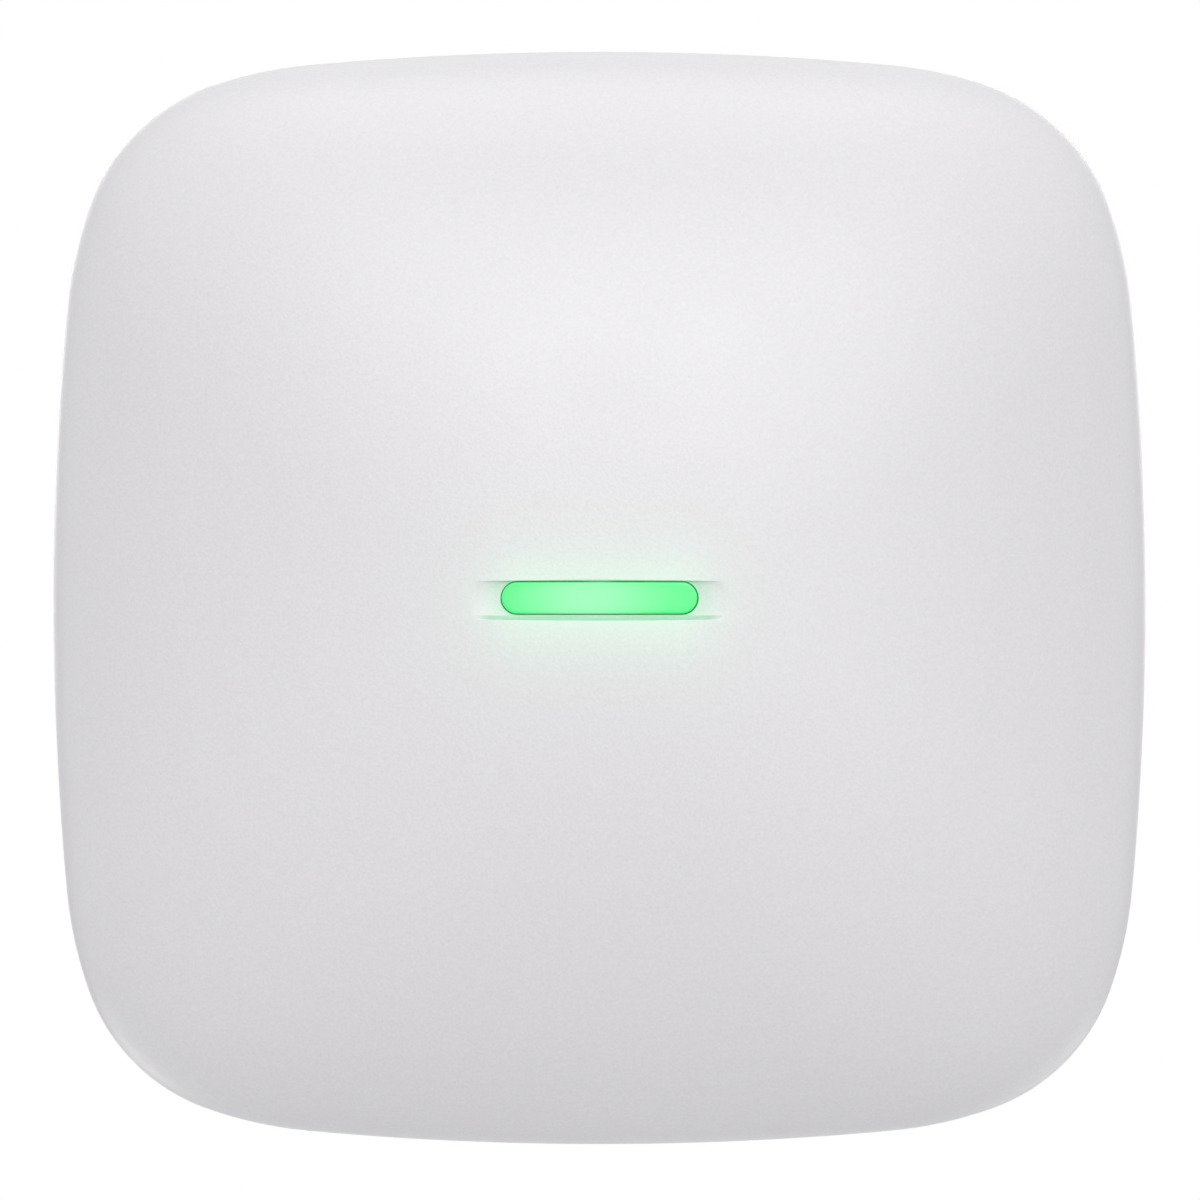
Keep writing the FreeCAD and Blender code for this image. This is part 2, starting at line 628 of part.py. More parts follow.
def rear_housing():
    shell = tray(0.0, BACK_RIM_Z)
    shell = shell.cut(tray(HOUSING_WALL, FLOOR_Z))
    lip_inset = HOUSING_WALL - LIP_THICKNESS
    lip = outline_plate(lip_inset, SEAM_Z - LIP_ROOT, SEAM_Z + LIP_HEIGHT)
    lip = lip.cut(outline_plate(HOUSING_WALL, SEAM_Z - LIP_ROOT - OVERCUT, SEAM_Z + LIP_HEIGHT + OVERCUT))
    shell = shell.fuse(lip)
    shell = joined(shell, lug_pockets() + housing_bosses() + [plug_pocket_walls()] + cradle_ribs())
    recess = rounded_box(
        -RECESS_HALF,
        RECESS_HALF,
        -RECESS_HALF,
        RECESS_HALF,
        -OVERCUT,
        RECESS_FLOOR_Z,
        BRACKET_CORNER + BRACKET_CLEARANCE,
    )
    return drilled(shell, [recess] + lug_slots() + housing_holes() + plug_pocket_space())


def lug_pockets():
    """Closed boxes over the lug slots, so that nothing reaches the live side through them."""
    half = LUG_HEAD_WIDTH / 2 + LUG_ENTRY_SLACK + LUG_POCKET_WALL
    top = LUG_LENGTH / 2 + LUG_CLEARANCE + LUG_POCKET_WALL
    bottom = SLIDE_TRAVEL + LUG_LENGTH / 2 + LUG_ENTRY_SLACK + LUG_POCKET_WALL
    front = LUG_HEAD_Z + LUG_HEAD_THICKNESS + LUG_CLEARANCE + LUG_POCKET_WALL
    return [box(x - half, x + half, y - bottom, y + top, RECESS_FLOOR_Z, front) for x, y in LUG_PLACES]


def lug_slots():
    """For each lug a wide entry, a narrow channel above it, and room for the head behind both."""
    cuts = []
    stem_half = LUG_STEM_WIDTH / 2 + LUG_CLEARANCE
    head_half = LUG_HEAD_WIDTH / 2 + LUG_ENTRY_SLACK
    head_front = LUG_HEAD_Z + LUG_HEAD_THICKNESS + LUG_CLEARANCE
    floor_span = (RECESS_FLOOR_Z - OVERCUT, FLOOR_Z + OVERCUT)
    for x, y in LUG_PLACES:
        top = y + LUG_LENGTH / 2 + LUG_CLEARANCE
        bottom = y - SLIDE_TRAVEL - LUG_LENGTH / 2 - LUG_ENTRY_SLACK
        entry_top = bottom + LUG_LENGTH + 2 * LUG_ENTRY_SLACK
        cuts.append(box(x - stem_half, x + stem_half, bottom, top, *floor_span))
        cuts.append(box(x - head_half, x + head_half, bottom, entry_top, *floor_span))
        cuts.append(box(x - head_half, x + head_half, bottom, top, FLOOR_Z, head_front))
    return cuts


def housing_bosses():
    bosses = [rod(x, y, FLOOR_Z - OVERCUT, PILLAR_FOOT_Z, CASE_BOSS_RADIUS) for x, y in CASE_SCREWS]
    bosses += [rod(x, y, FLOOR_Z - OVERCUT, MAIN_BOARD_Z, BOARD_BOSS_RADIUS) for x, y in MAIN_BOARD_SCREWS]
    bosses += [rod(x, y, FLOOR_Z - OVERCUT, POWER_BOARD_Z, BOARD_BOSS_RADIUS) for x, y in POWER_BOARD_SCREWS]
    tamper_guide = TAMPER_FLANGE_RADIUS + 2 * SLIDING_CLEARANCE + BUTTON_GUIDE_WALL
    bosses.append(rod(TAMPER_X, TAMPER_Y, FLOOR_Z - OVERCUT, TAMPER_GUIDE_TOP_Z, tamper_guide))
    power_guide = POWER_CAP_RADIUS + POWER_FLANGE_EXTRA + 2 * SLIDING_CLEARANCE + BUTTON_GUIDE_WALL
    bosses.append(rod(POWER_X, POWER_Y, FLOOR_Z - OVERCUT, FLOOR_Z + POWER_GUIDE_HEIGHT, power_guide))
    return bosses


def housing_holes():
    holes = []
    head_seat = RECESS_FLOOR_Z + CASE_SCREW_HEAD_SUNK + CASE_SCREW_HEAD_HEIGHT
    head_hole = CASE_SCREW_HEAD_RADIUS + CASE_SCREW_HEAD_SLACK
    shank_hole = CASE_SCREW_RADIUS + CASE_SCREW_HOLE_SLACK
    for x, y in CASE_SCREWS:
        holes.append(rod(x, y, RECESS_FLOOR_Z - OVERCUT, head_seat, head_hole))
        holes.append(rod(x, y, RECESS_FLOOR_Z, PILLAR_FOOT_Z + OVERCUT, shank_hole))
    pilot = BOARD_SCREW_RADIUS + SCREW_HOLE_CLEARANCE
    for x, y in MAIN_BOARD_SCREWS:
        holes.append(rod(x, y, MAIN_BOARD_Z - BOARD_SCREW_BITE - OVERCUT, MAIN_BOARD_Z + OVERCUT, pilot))
    for x, y in POWER_BOARD_SCREWS:
        holes.append(rod(x, y, power_screw_tip_z() - LUG_CLEARANCE, POWER_BOARD_Z + OVERCUT, pilot))
    rod_hole = TAMPER_ROD_RADIUS + SLIDING_CLEARANCE
    holes.append(rod(TAMPER_X, TAMPER_Y, RECESS_FLOOR_Z - OVERCUT, TAMPER_GUIDE_TOP_Z + OVERCUT, rod_hole))
    flange_hole = TAMPER_FLANGE_RADIUS + 2 * SLIDING_CLEARANCE
    holes.append(rod(TAMPER_X, TAMPER_Y, FLOOR_Z, TAMPER_GUIDE_TOP_Z + OVERCUT, flange_hole))
    cap_hole = POWER_CAP_RADIUS + SLIDING_CLEARANCE
    holes.append(rod(POWER_X, POWER_Y, RECESS_FLOOR_Z - OVERCUT, FLOOR_Z + OVERCUT, cap_hole))
    flange_hole = POWER_CAP_RADIUS + POWER_FLANGE_EXTRA + 2 * SLIDING_CLEARANCE
    holes.append(rod(POWER_X, POWER_Y, FLOOR_Z, FLOOR_Z + POWER_GUIDE_HEIGHT + OVERCUT, flange_hole))
    holes.append(label_space())
    return holes


def power_screw_tip_z():
    """The power board's screws are short: they stop inside the floor."""
    return RECESS_FLOOR_Z + 2 * LUG_CLEARANCE


def plug_pocket_walls():
    wall = PLUG_POCKET_WALL
    pocket = rounded_box(
        -PLUG_POCKET_HALF_WIDTH - wall,
        PLUG_POCKET_HALF_WIDTH + wall,
        PLUG_POCKET_BOTTOM_Y - wall,
        PLUG_POCKET_TOP_Y + wall,
        RECESS_FLOOR_Z,
        PLUG_POCKET_CEILING_Z + wall,
        PLUG_POCKET_CORNER,
    )
    half_channel = CABLE_OUTLET_WIDTH / 2 + wall
    channel = box(
        -half_channel, half_channel, -HALF_SIDE, PLUG_POCKET_BOTTOM_Y, BACK_RIM_Z, CABLE_OUTLET_Z + wall
    )
    return pocket.fuse(channel.common(tray(0.0, BACK_RIM_Z)))


def plug_pocket_space():
    """Room for the plug, its way out for the cable, and the hole that the inlet's nose fills."""
    pocket = rounded_box(
        -PLUG_POCKET_HALF_WIDTH,
        PLUG_POCKET_HALF_WIDTH,
        PLUG_POCKET_BOTTOM_Y,
        PLUG_POCKET_TOP_Y,
        0,
        PLUG_POCKET_CEILING_Z,
        PLUG_POCKET_CORNER - PLUG_POCKET_WALL,
    )
    half_channel = CABLE_OUTLET_WIDTH / 2
    outside_y = -HALF_SIDE - OVERCUT
    inside_y = PLUG_POCKET_BOTTOM_Y + OVERCUT
    channel = box(-half_channel, half_channel, outside_y, inside_y, 0, CABLE_OUTLET_Z)
    nose_half_width = INLET_NOSE_WIDTH / 2 + SLIDING_CLEARANCE
    nose_half_height = INLET_NOSE_HEIGHT / 2 + SLIDING_CLEARANCE
    nose = box(
        -nose_half_width,
        nose_half_width,
        PLUG_POCKET_TOP_Y - OVERCUT,
        PLUG_POCKET_TOP_Y + PLUG_POCKET_WALL + OVERCUT,
        INLET_Z - nose_half_height,
        INLET_Z + nose_half_height,
    )
    return [pocket, channel, nose]


def cradle_ribs():
    ribs = []
    trough = Part.makeCylinder(
        CELL_RADIUS + CRADLE_CLEARANCE, CELL_LENGTH, point(CELL_X, CELL_BOTTOM_Y, CELL_Z), point(0, 1, 0)
    )
    low_y = CELL_BOTTOM_Y + CRADLE_INSET_FROM_END
    high_y = CELL_BOTTOM_Y + CELL_LENGTH - CRADLE_INSET_FROM_END - CRADLE_RIB
    for y in (low_y, high_y):
        rib = box(
            CELL_X - CRADLE_WIDTH / 2,
            CELL_X + CRADLE_WIDTH / 2,
            y,
            y + CRADLE_RIB,
            FLOOR_Z - OVERCUT,
            CRADLE_TOP_Z,
        )
        ribs.append(rib.cut(trough))
    return ribs


def label_space():
    width = LABEL_WIDTH + 2 * LABEL_CLEARANCE
    height = LABEL_HEIGHT + 2 * LABEL_CLEARANCE
    return box(
        -BRACKET_WINDOW_X - width / 2,
        -BRACKET_WINDOW_X + width / 2,
        BRACKET_WINDOW_Y - height / 2,
        BRACKET_WINDOW_Y + height / 2,
        RECESS_FLOOR_Z - OVERCUT,
        RECESS_FLOOR_Z + LABEL_RECESS,
    )


def blank_label():
    front = RECESS_FLOOR_Z + LABEL_RECESS
    return box(
        -BRACKET_WINDOW_X - LABEL_WIDTH / 2,
        -BRACKET_WINDOW_X + LABEL_WIDTH / 2,
        BRACKET_WINDOW_Y - LABEL_HEIGHT / 2,
        BRACKET_WINDOW_Y + LABEL_HEIGHT / 2,
        front - LABEL_THICKNESS,
        front,
    )


def case_screws():
    screws = []
    for x, y in CASE_SCREWS:
        head_back = RECESS_FLOOR_Z + CASE_SCREW_HEAD_SUNK
        head_front = head_back + CASE_SCREW_HEAD_HEIGHT
        head = rod(x, y, head_back, head_front, CASE_SCREW_HEAD_RADIUS)
        shank = rod(x, y, head_front, PILLAR_FOOT_Z + CASE_SCREW_BITE, CASE_SCREW_RADIUS)
        screws.append(head.fuse(shank).cut(cross_slot(x, y, head_back, CASE_SCREW_HEAD_RADIUS)))
    return screws


def cross_slot(x, y, face_z, head_radius):
    """Recess for a cross-head driver, cut into a head whose face looks towards the wall."""
    reach = DRIVER_REACH_SHARE * head_radius
    width = DRIVER_WIDTH_SHARE * head_radius
    depth = DRIVER_DEPTH_SHARE * head_radius
    one = box(x - reach, x + reach, y - width, y + width, face_z - OVERCUT, face_z + depth)
    other = box(x - width, x + width, y - reach, y + reach, face_z - OVERCUT, face_z + depth)
    return one.fuse(other)


# The wall bracket.


def wall_bracket():
    plate = rounded_box(
        -BRACKET_HALF_WIDTH,
        BRACKET_HALF_WIDTH,
        BRACKET_BOTTOM,
        BRACKET_TOP,
        0,
        BRACKET_THICKNESS,
        BRACKET_CORNER,
    )
    rim = [e for e in plate.Edges if e.BoundBox.ZMax < BRACKET_EDGE_ROUND]
    plate = plate.makeChamfer(BRACKET_EDGE_ROUND, rim)
    plate = joined(plate, bracket_lugs())
    cuts = bracket_openings() + wall_screw_slots() + tab_slits() + [tamper_ramp(), tab_screw_hole()]
    return drilled(plate, cuts)


def bracket_lugs():
    lugs = []
    for x, y in LUG_PLACES:
        stem_half = LUG_STEM_WIDTH / 2
        head_half = LUG_HEAD_WIDTH / 2
        half_length = LUG_LENGTH / 2
        head_front = LUG_HEAD_Z + LUG_HEAD_THICKNESS
        stem = box(x - stem_half, x + stem_half, y - half_length, y + half_length, LUG_ROOT_Z, head_front)
        head = box(x - head_half, x + head_half, y - half_length, y + half_length, LUG_HEAD_Z, head_front)
        lugs.append(stem.fuse(head))
    return lugs


def bracket_openings():
    """The cut-out for the plug pocket, the power button's hole and two windows."""
    half_cutout = PLUG_POCKET_HALF_WIDTH + CABLE_CUTOUT_MARGIN
    cutout = rounded_box(
        -half_cutout,
        half_cutout,
        BRACKET_BOTTOM - 2 * CABLE_CUTOUT_CORNER,
        PLUG_POCKET_TOP_Y + CABLE_CUTOUT_MARGIN,
        -OVERCUT,
        BRACKET_THICKNESS + OVERCUT,
        CABLE_CUTOUT_CORNER,
    )
    button_hole = rod(POWER_X, POWER_Y, -OVERCUT, BRACKET_THICKNESS + OVERCUT, POWER_HOLE_IN_BRACKET)
    windows = []
    for side in (-1, 1):
        x = side * BRACKET_WINDOW_X
        windows.append(
            rounded_box(
                x - BRACKET_WINDOW_WIDTH / 2,
                x + BRACKET_WINDOW_WIDTH / 2,
                BRACKET_WINDOW_Y - BRACKET_WINDOW_HEIGHT / 2,
                BRACKET_WINDOW_Y + BRACKET_WINDOW_HEIGHT / 2,
                -OVERCUT,
                BRACKET_THICKNESS + OVERCUT,
                BRACKET_WINDOW_CORNER,
            )
        )
    return [cutout, button_hole] + windows


def wall_screw_slots():
    """Slots for four wall screws, countersunk on the side that faces the case."""
    cuts = []
    height = 2 * WALL_SCREW_HOLE_RADIUS
    widening = 2 * (WALL_SCREW_HEAD_RADIUS - WALL_SCREW_HOLE_RADIUS)
    sink_z = BRACKET_THICKNESS - COUNTERSINK_DEPTH
    for side in (-1, 1):
        for y in (WALL_SCREW_UPPER_Y, WALL_SCREW_LOWER_Y):
            x = side * WALL_SCREW_X
            cuts.append(bar(WALL_SCREW_SLOT_LENGTH, height, -OVERCUT, BRACKET_THICKNESS + OVERCUT, x, y))
            narrow = bar_wire(WALL_SCREW_SLOT_LENGTH, height, sink_z, x, y)
            wide = bar_wire(WALL_SCREW_SLOT_LENGTH + widening, height + widening, BRACKET_THICKNESS, x, y)
            cuts.append(Part.makeLoft([narrow, wide], True, True))
    return cuts


def tab_limits():
    bottom = TAMPER_Y - TAB_BELOW_TAMPER
    top = TAMPER_Y + SLIDE_TRAVEL + TAMPER_ROD_RADIUS + TAMPER_RAMP_MARGIN + TAB_ABOVE_RAMP
    return -TAB_WIDTH / 2, TAB_WIDTH / 2, bottom, top


def tab_slits():
    """Slits round the breakaway tab. Two thin bridges are left on each side of it."""
    left, right, bottom, top = tab_limits()
    slit = TAB_SLIT
    back = -OVERCUT
    front = BRACKET_THICKNESS + OVERCUT
    ring = box(left - slit, right + slit, bottom - slit, top + slit, back, front)
    ring = ring.cut(box(left, right, bottom, top, back, front))
    bridges = []
    half = TAB_BRIDGE / 2
    for share in TAB_BRIDGE_PLACES:
        x = left + share * (right - left)
        y = bottom + share * (top - bottom)
        bridges.append(box(x - half, x + half, bottom - slit, top + slit, back, front))
        bridges.append(box(left - slit, right + slit, y - half, y + half, back, front))
    return [drilled(ring, bridges)]


def tamper_ramp():
    """The groove that the tamper's tip runs along: it deepens as the case is lifted."""
    margin = TAMPER_ROD_RADIUS + TAMPER_RAMP_MARGIN
    start = TAMPER_Y - margin
    end = TAMPER_Y + SLIDE_TRAVEL + margin
    slope = TAMPER_TRAVEL / SLIDE_TRAVEL
    left = TAMPER_X - margin
    profile = Part.makePolygon(
        [
            point(left, TAMPER_Y, BRACKET_THICKNESS),
            point(left, end, BRACKET_THICKNESS - slope * (end - TAMPER_Y)),
            point(left, end, BRACKET_THICKNESS + OVERCUT),
            point(left, start, BRACKET_THICKNESS + OVERCUT),
            point(left, start, BRACKET_THICKNESS),
            point(left, TAMPER_Y, BRACKET_THICKNESS),
        ]
    )
    return Part.Face(profile).extrude(point(2 * margin, 0, 0))


def tab_screw_hole():
    y = TAMPER_Y - TAB_SCREW_BELOW_TAMPER
    hole = rod(TAMPER_X, y, -OVERCUT, BRACKET_THICKNESS + OVERCUT, WALL_SCREW_HOLE_RADIUS)
    sink_z = BRACKET_THICKNESS - COUNTERSINK_DEPTH
    sink = Part.makeCone(
        WALL_SCREW_HOLE_RADIUS, WALL_SCREW_HEAD_RADIUS, COUNTERSINK_DEPTH, point(TAMPER_X, y, sink_z)
    )
    return hole.fuse(sink)


# Buttons and switches.


def tamper_button():
    """A sprung rod whose round tip follows the bracket's ramp."""
    tip_z = BRACKET_THICKNESS + TAMPER_TIP_GAP
    tip_round = TAMPER_ROD_RADIUS - SLIDING_CLEARANCE
    top_z = TAMPER_SWITCH_Z - SWITCH_ACTUATOR_LENGTH - TAMPER_TIP_GAP
    body = rod(TAMPER_X, TAMPER_Y, tip_z + tip_round, top_z, TAMPER_ROD_RADIUS)
    body = body.makeChamfer(TAMPER_TIP_CHAMFER, [body.Edges[0]])
    ball = Part.makeSphere(tip_round, point(TAMPER_X, TAMPER_Y, tip_z + tip_round))
    flange = rod(
        TAMPER_X, TAMPER_Y, TAMPER_FLANGE_Z, TAMPER_FLANGE_Z + TAMPER_FLANGE_THICKNESS, TAMPER_FLANGE_RADIUS
    )
    return joined(body, [ball, flange])


def tamper_spring():
    """A coil spring between the rod's flange and the switch, each quarter turn two tangent arcs."""
    start = TAMPER_FLANGE_Z + TAMPER_FLANGE_THICKNESS + SPRING_WIRE / 2
    rise = (TAMPER_SWITCH_Z - start - SPRING_WIRE / 2) / (4 * SPRING_TURNS)
    quarter = math.pi / 2
    places = []
    headings = []
    for step in range(4 * SPRING_TURNS + 1):
        across = point(math.cos(step * quarter), math.sin(step * quarter), 0)
        heading = point(-across.y, across.x, rise / (SPRING_MEAN_RADIUS * quarter))
        places.append(point(TAMPER_X, TAMPER_Y, start + rise * step) + across * SPRING_MEAN_RADIUS)
        headings.append(heading.normalize())
    edges = []
    for first, second, leaving, arriving in zip(places, places[1:], headings, headings[1:]):
        span = second - first
        both = leaving + arriving
        fall = span.dot(both)
        spread = 2 - 2 * leaving.dot(arriving)
        reach = (math.sqrt(fall**2 + spread * span.dot(span)) - fall) / spread
        corner_one = first + leaving * reach
        corner_two = second - arriving * reach
        middle = (corner_one + corner_two) * 0.5
        edges.append(corner_arc(first, corner_one, middle))
        edges.append(corner_arc(middle, corner_two, second))
    path = Part.Wire(edges)
    circle = Part.Wire(Part.makeCircle(SPRING_WIRE / 2, places[0], headings[0]))
    spring = path.makePipeShell([circle], True, False)
    wire_volume = math.pi * SPRING_WIRE**2 / 4 * path.Length
    print("spring volume", round(spring.Volume, 3), "against", round(wire_volume, 3))
    print("least gap between its turns", round(4 * rise - SPRING_WIRE, 2))
    return spring


def tamper_switch():
    half = TAMPER_SWITCH_SIDE / 2
    body = box(
        TAMPER_X - half, TAMPER_X + half, TAMPER_Y - half, TAMPER_Y + half, TAMPER_SWITCH_Z, MAIN_BOARD_Z
    )
    actuator = rod(
        TAMPER_X, TAMPER_Y, TAMPER_SWITCH_Z - SWITCH_ACTUATOR_LENGTH, MAIN_BOARD_Z, SWITCH_ACTUATOR_RADIUS
    )
    return body.fuse(actuator)


def power_button():
    cap_back = RECESS_FLOOR_Z + POWER_CAP_SUNK
    flange_back = FLOOR_Z + POWER_FLANGE_GAP
    flange_front = flange_back + POWER_FLANGE_THICKNESS
    stem_front = POWER_SWITCH_Z - POWER_PLUNGER_SHOWN
    cap = rod(POWER_X, POWER_Y, cap_back, flange_back, POWER_CAP_RADIUS)
    flange = rod(POWER_X, POWER_Y, flange_back, flange_front, POWER_CAP_RADIUS + POWER_FLANGE_EXTRA)
    stem = rod(POWER_X, POWER_Y, flange_front, stem_front, POWER_STEM_RADIUS)
    dish_radius = (POWER_DISH_WIDTH**2 / 4 + POWER_DISH_DEPTH**2) / (2 * POWER_DISH_DEPTH)
    dish = Part.makeSphere(dish_radius, point(POWER_X, POWER_Y, cap_back + POWER_DISH_DEPTH - dish_radius))
    return joined(cap, [flange, stem]).cut(dish)


def power_switch():
    half = POWER_SWITCH_SIDE / 2
    body = box(
        POWER_X - half, POWER_X + half, POWER_Y - half, POWER_Y + half, POWER_SWITCH_Z, MAIN_BOARD_Z
    )
    well_front = POWER_SWITCH_Z + POWER_PLUNGER_SUNK + POWER_TRAVEL + POWER_FLANGE_GAP
    well_radius = POWER_PLUNGER_RADIUS + SLIDING_CLEARANCE
    return body.cut(rod(POWER_X, POWER_Y, POWER_SWITCH_Z - OVERCUT, well_front, well_radius))


def power_switch_plunger():
    back = POWER_SWITCH_Z - POWER_PLUNGER_SHOWN
    front = POWER_SWITCH_Z + POWER_PLUNGER_SUNK
    return rod(POWER_X, POWER_Y, back, front, POWER_PLUNGER_RADIUS)


# Indicator.


def indicator_window():
    top = CASE_DEPTH - DISH_DEPTH + WINDOW_PROUD
    body = bar(WINDOW_LENGTH, WINDOW_HEIGHT, WINDOW_SEAT_Z - WINDOW_FLANGE_THICKNESS, top + OVERCUT)
    crown = Part.makeSphere(WINDOW_CROWN_RADIUS, point(0, 0, top - WINDOW_CROWN_RADIUS))
    body = body.common(crown)
    flange = bar(
        WINDOW_LENGTH + 2 * WINDOW_FLANGE_EXTRA,
        WINDOW_HEIGHT + 2 * WINDOW_FLANGE_EXTRA,
        WINDOW_SEAT_Z - WINDOW_FLANGE_THICKNESS,
        WINDOW_SEAT_Z,
    )
    return body.fuse(flange)


def guide_base_z():
    return MAIN_BOARD_FRONT_Z + SHROUD_LAMP_WELL


def shroud_top_z():
    return WINDOW_SEAT_Z - WINDOW_FLANGE_THICKNESS - GUIDE_TOP_GAP


def light_guide():
    length = WINDOW_LENGTH + 2 * GUIDE_BORDER
    height = WINDOW_HEIGHT + 2 * GUIDE_BORDER
    return bar(length, height, guide_base_z(), shroud_top_z())


def light_shroud():
    """White frame round the light guide: it stands on the main board on two pegs."""
    inner_length = WINDOW_LENGTH + 2 * (GUIDE_BORDER + GUIDE_CLEARANCE)
    inner_height = WINDOW_HEIGHT + 2 * (GUIDE_BORDER + GUIDE_CLEARANCE)
    outer = bar(
        inner_length + 2 * SHROUD_WALL, inner_height + 2 * SHROUD_WALL, MAIN_BOARD_FRONT_Z, shroud_top_z()
    )
    upper = bar(inner_length, inner_height, guide_base_z(), shroud_top_z() + OVERCUT)
    well_length = inner_length - 2 * SHROUD_LEDGE
    well_height = inner_height - 2 * SHROUD_LEDGE
    well = bar(well_length, well_height, MAIN_BOARD_FRONT_Z - OVERCUT, guide_base_z() + OVERCUT)
    pegs = [
        rod(x, 0, MAIN_BOARD_FRONT_Z - SHROUD_PEG_LENGTH, guide_base_z(), SHROUD_PEG_RADIUS)
        for x in shroud_peg_places()
    ]
    return joined(drilled(outer, [upper, well]), pegs)


def shroud_peg_places():
    place = WINDOW_LENGTH / 2 + GUIDE_BORDER + GUIDE_CLEARANCE + SHROUD_WALL / 2
    return (-place, place)


def status_lamps():
    first = -LAMP_PITCH * (LAMP_COUNT - 1) / 2
    lamps = []
    for step in range(LAMP_COUNT):
        x = first + step * LAMP_PITCH
        lamp = box(
            x - LAMP_WIDTH / 2,
            x + LAMP_WIDTH / 2,
            -LAMP_DEPTH / 2,
            LAMP_DEPTH / 2,
            MAIN_BOARD_FRONT_Z,
            MAIN_BOARD_FRONT_Z + LAMP_HEIGHT,
        )
        lamps.append(lamp)
    return lamps


# Main board and its parts.


def main_board():
    board = rounded_box(
        MAIN_BOARD_LEFT,
        MAIN_BOARD_RIGHT,
        MAIN_BOARD_BOTTOM,
        MAIN_BOARD_TOP,
        MAIN_BOARD_Z,
        MAIN_BOARD_FRONT_Z,
        BOARD_CORNER,
    )
    holes = []
    for x, y in MAIN_BOARD_SCREWS:
        holes.append(board_hole(x, y, MAIN_BOARD_Z, BOARD_SCREW_RADIUS + BOARD_HOLE_CLEARANCE))
    for x in shroud_peg_places():
        holes.append(board_hole(x, 0, MAIN_BOARD_Z, SHROUD_PEG_RADIUS + SLIDING_CLEARANCE))
    for x in link_places():
        holes.append(board_hole(x, LINK_Y, MAIN_BOARD_Z, LINK_PIN_RADIUS + SCREW_HOLE_CLEARANCE))
    return drilled(board, holes)


def board_hole(x, y, back, radius):
    return rod(x, y, back - OVERCUT, back + BOARD_THICKNESS + OVERCUT, radius)


def board_screw(x, y, board_front, tip_z):
    head_front = board_front + BOARD_SCREW_HEAD_HEIGHT
    head = rod(x, y, board_front, head_front, BOARD_SCREW_HEAD_RADIUS)
    head = head.makeFillet(BOARD_SCREW_HEAD_HEIGHT / 2, [head.Edges[0]])
    return head.fuse(rod(x, y, tip_z, head_front - BOARD_SCREW_HEAD_HEIGHT / 2, BOARD_SCREW_RADIUS))


def main_board_screws():
    tip_z = MAIN_BOARD_Z - BOARD_SCREW_BITE
    return [board_screw(x, y, MAIN_BOARD_FRONT_Z, tip_z) for x, y in MAIN_BOARD_SCREWS]


def power_board_screws():
    return [board_screw(x, y, POWER_BOARD_FRONT_Z, power_screw_tip_z()) for x, y in POWER_BOARD_SCREWS]


def radio_shields():
    """Two tinned cans over the radio circuits, open towards the board."""
    cans = []
    for left, bottom, width, length in SHIELDS:
        right = left + width
        top = bottom + length
        front = MAIN_BOARD_FRONT_Z + SHIELD_HEIGHT
        can = rounded_box(left, right, bottom, top, MAIN_BOARD_FRONT_Z, front, SHIELD_CORNER)
        inside = box(
            left + SHIELD_WALL,
            right - SHIELD_WALL,
            bottom + SHIELD_WALL,
            top - SHIELD_WALL,
            MAIN_BOARD_FRONT_Z - OVERCUT,
            front - SHIELD_WALL,
        )
        cans.append(can.cut(inside))
    return cans


def board_chips():
    """The processor, a radio chip under each can, and a row of small parts."""
    z = MAIN_BOARD_FRONT_Z
    half = PROCESSOR_SIDE / 2
    chips = [
        box(
            PROCESSOR_X - half,
            PROCESSOR_X + half,
            PROCESSOR_Y - half,
            PROCESSOR_Y + half,
            z,
            z + CHIP_HEIGHT,
        )
    ]
    for left, bottom, width, length in SHIELDS:
        x = left + width / 2
        y = bottom + length / 2
        side = RADIO_CHIP_SIDE / 2
        chips.append(box(x - side, x + side, y - side, y + side, z, z + CHIP_HEIGHT))
    for step in range(SMALL_PART_COUNT):
        x = PROCESSOR_X + half + SMALL_PART_GAP
        y = PROCESSOR_Y - half + SMALL_PART_PITCH * step
        chips.append(box(x, x + SMALL_PART_LENGTH, y, y + SMALL_PART_WIDTH, z, z + SMALL_PART_HEIGHT))
    return chips


def antenna(start_x):
    """A stamped strip aerial: a feed leg and an earth leg under a long bar, as tall as the cover allows."""
    y = ANTENNA_Y
    ceiling = min(cover_ceiling(x, y + ANTENNA_SHEET) for x in (start_x, start_x + ANTENNA_LENGTH))
    front = ceiling - ANTENNA_CEILING_GAP
    back = front - (front - MAIN_BOARD_FRONT_Z) * ANTENNA_BAR_SHARE
    strip = box(start_x, start_x + ANTENNA_LENGTH, y, y + ANTENNA_SHEET, back, front)
    for x in (start_x, start_x + ANTENNA_LEG_PITCH):
        leg = box(x, x + ANTENNA_LEG_WIDTH, y, y + ANTENNA_SHEET, MAIN_BOARD_FRONT_Z, front)
        strip = strip.fuse(leg)
    return strip


def link_places():
    return [LINK_FIRST_X + step * LINK_PITCH for step in range(LINK_COUNT)]


def link_pins():
    front = MAIN_BOARD_FRONT_Z + LINK_PIN_ABOVE
    return [rod(x, LINK_Y, POWER_BOARD_Z, front, LINK_PIN_RADIUS) for x in link_places()]


def link_base():
    half = LINK_BASE_WIDTH / 2
    base = box(
        LINK_FIRST_X - half,
        LINK_FIRST_X + LINK_PITCH * (LINK_COUNT - 1) + half,
        LINK_Y - half,
        LINK_Y + half,
        POWER_BOARD_FRONT_Z,
        POWER_BOARD_FRONT_Z + LINK_BASE_HEIGHT,
    )
    front = POWER_BOARD_FRONT_Z + LINK_BASE_HEIGHT + OVERCUT
    return drilled(base, [rod(x, LINK_Y, POWER_BOARD_Z, front, LINK_PIN_RADIUS) for x in link_places()])


# Mains side.


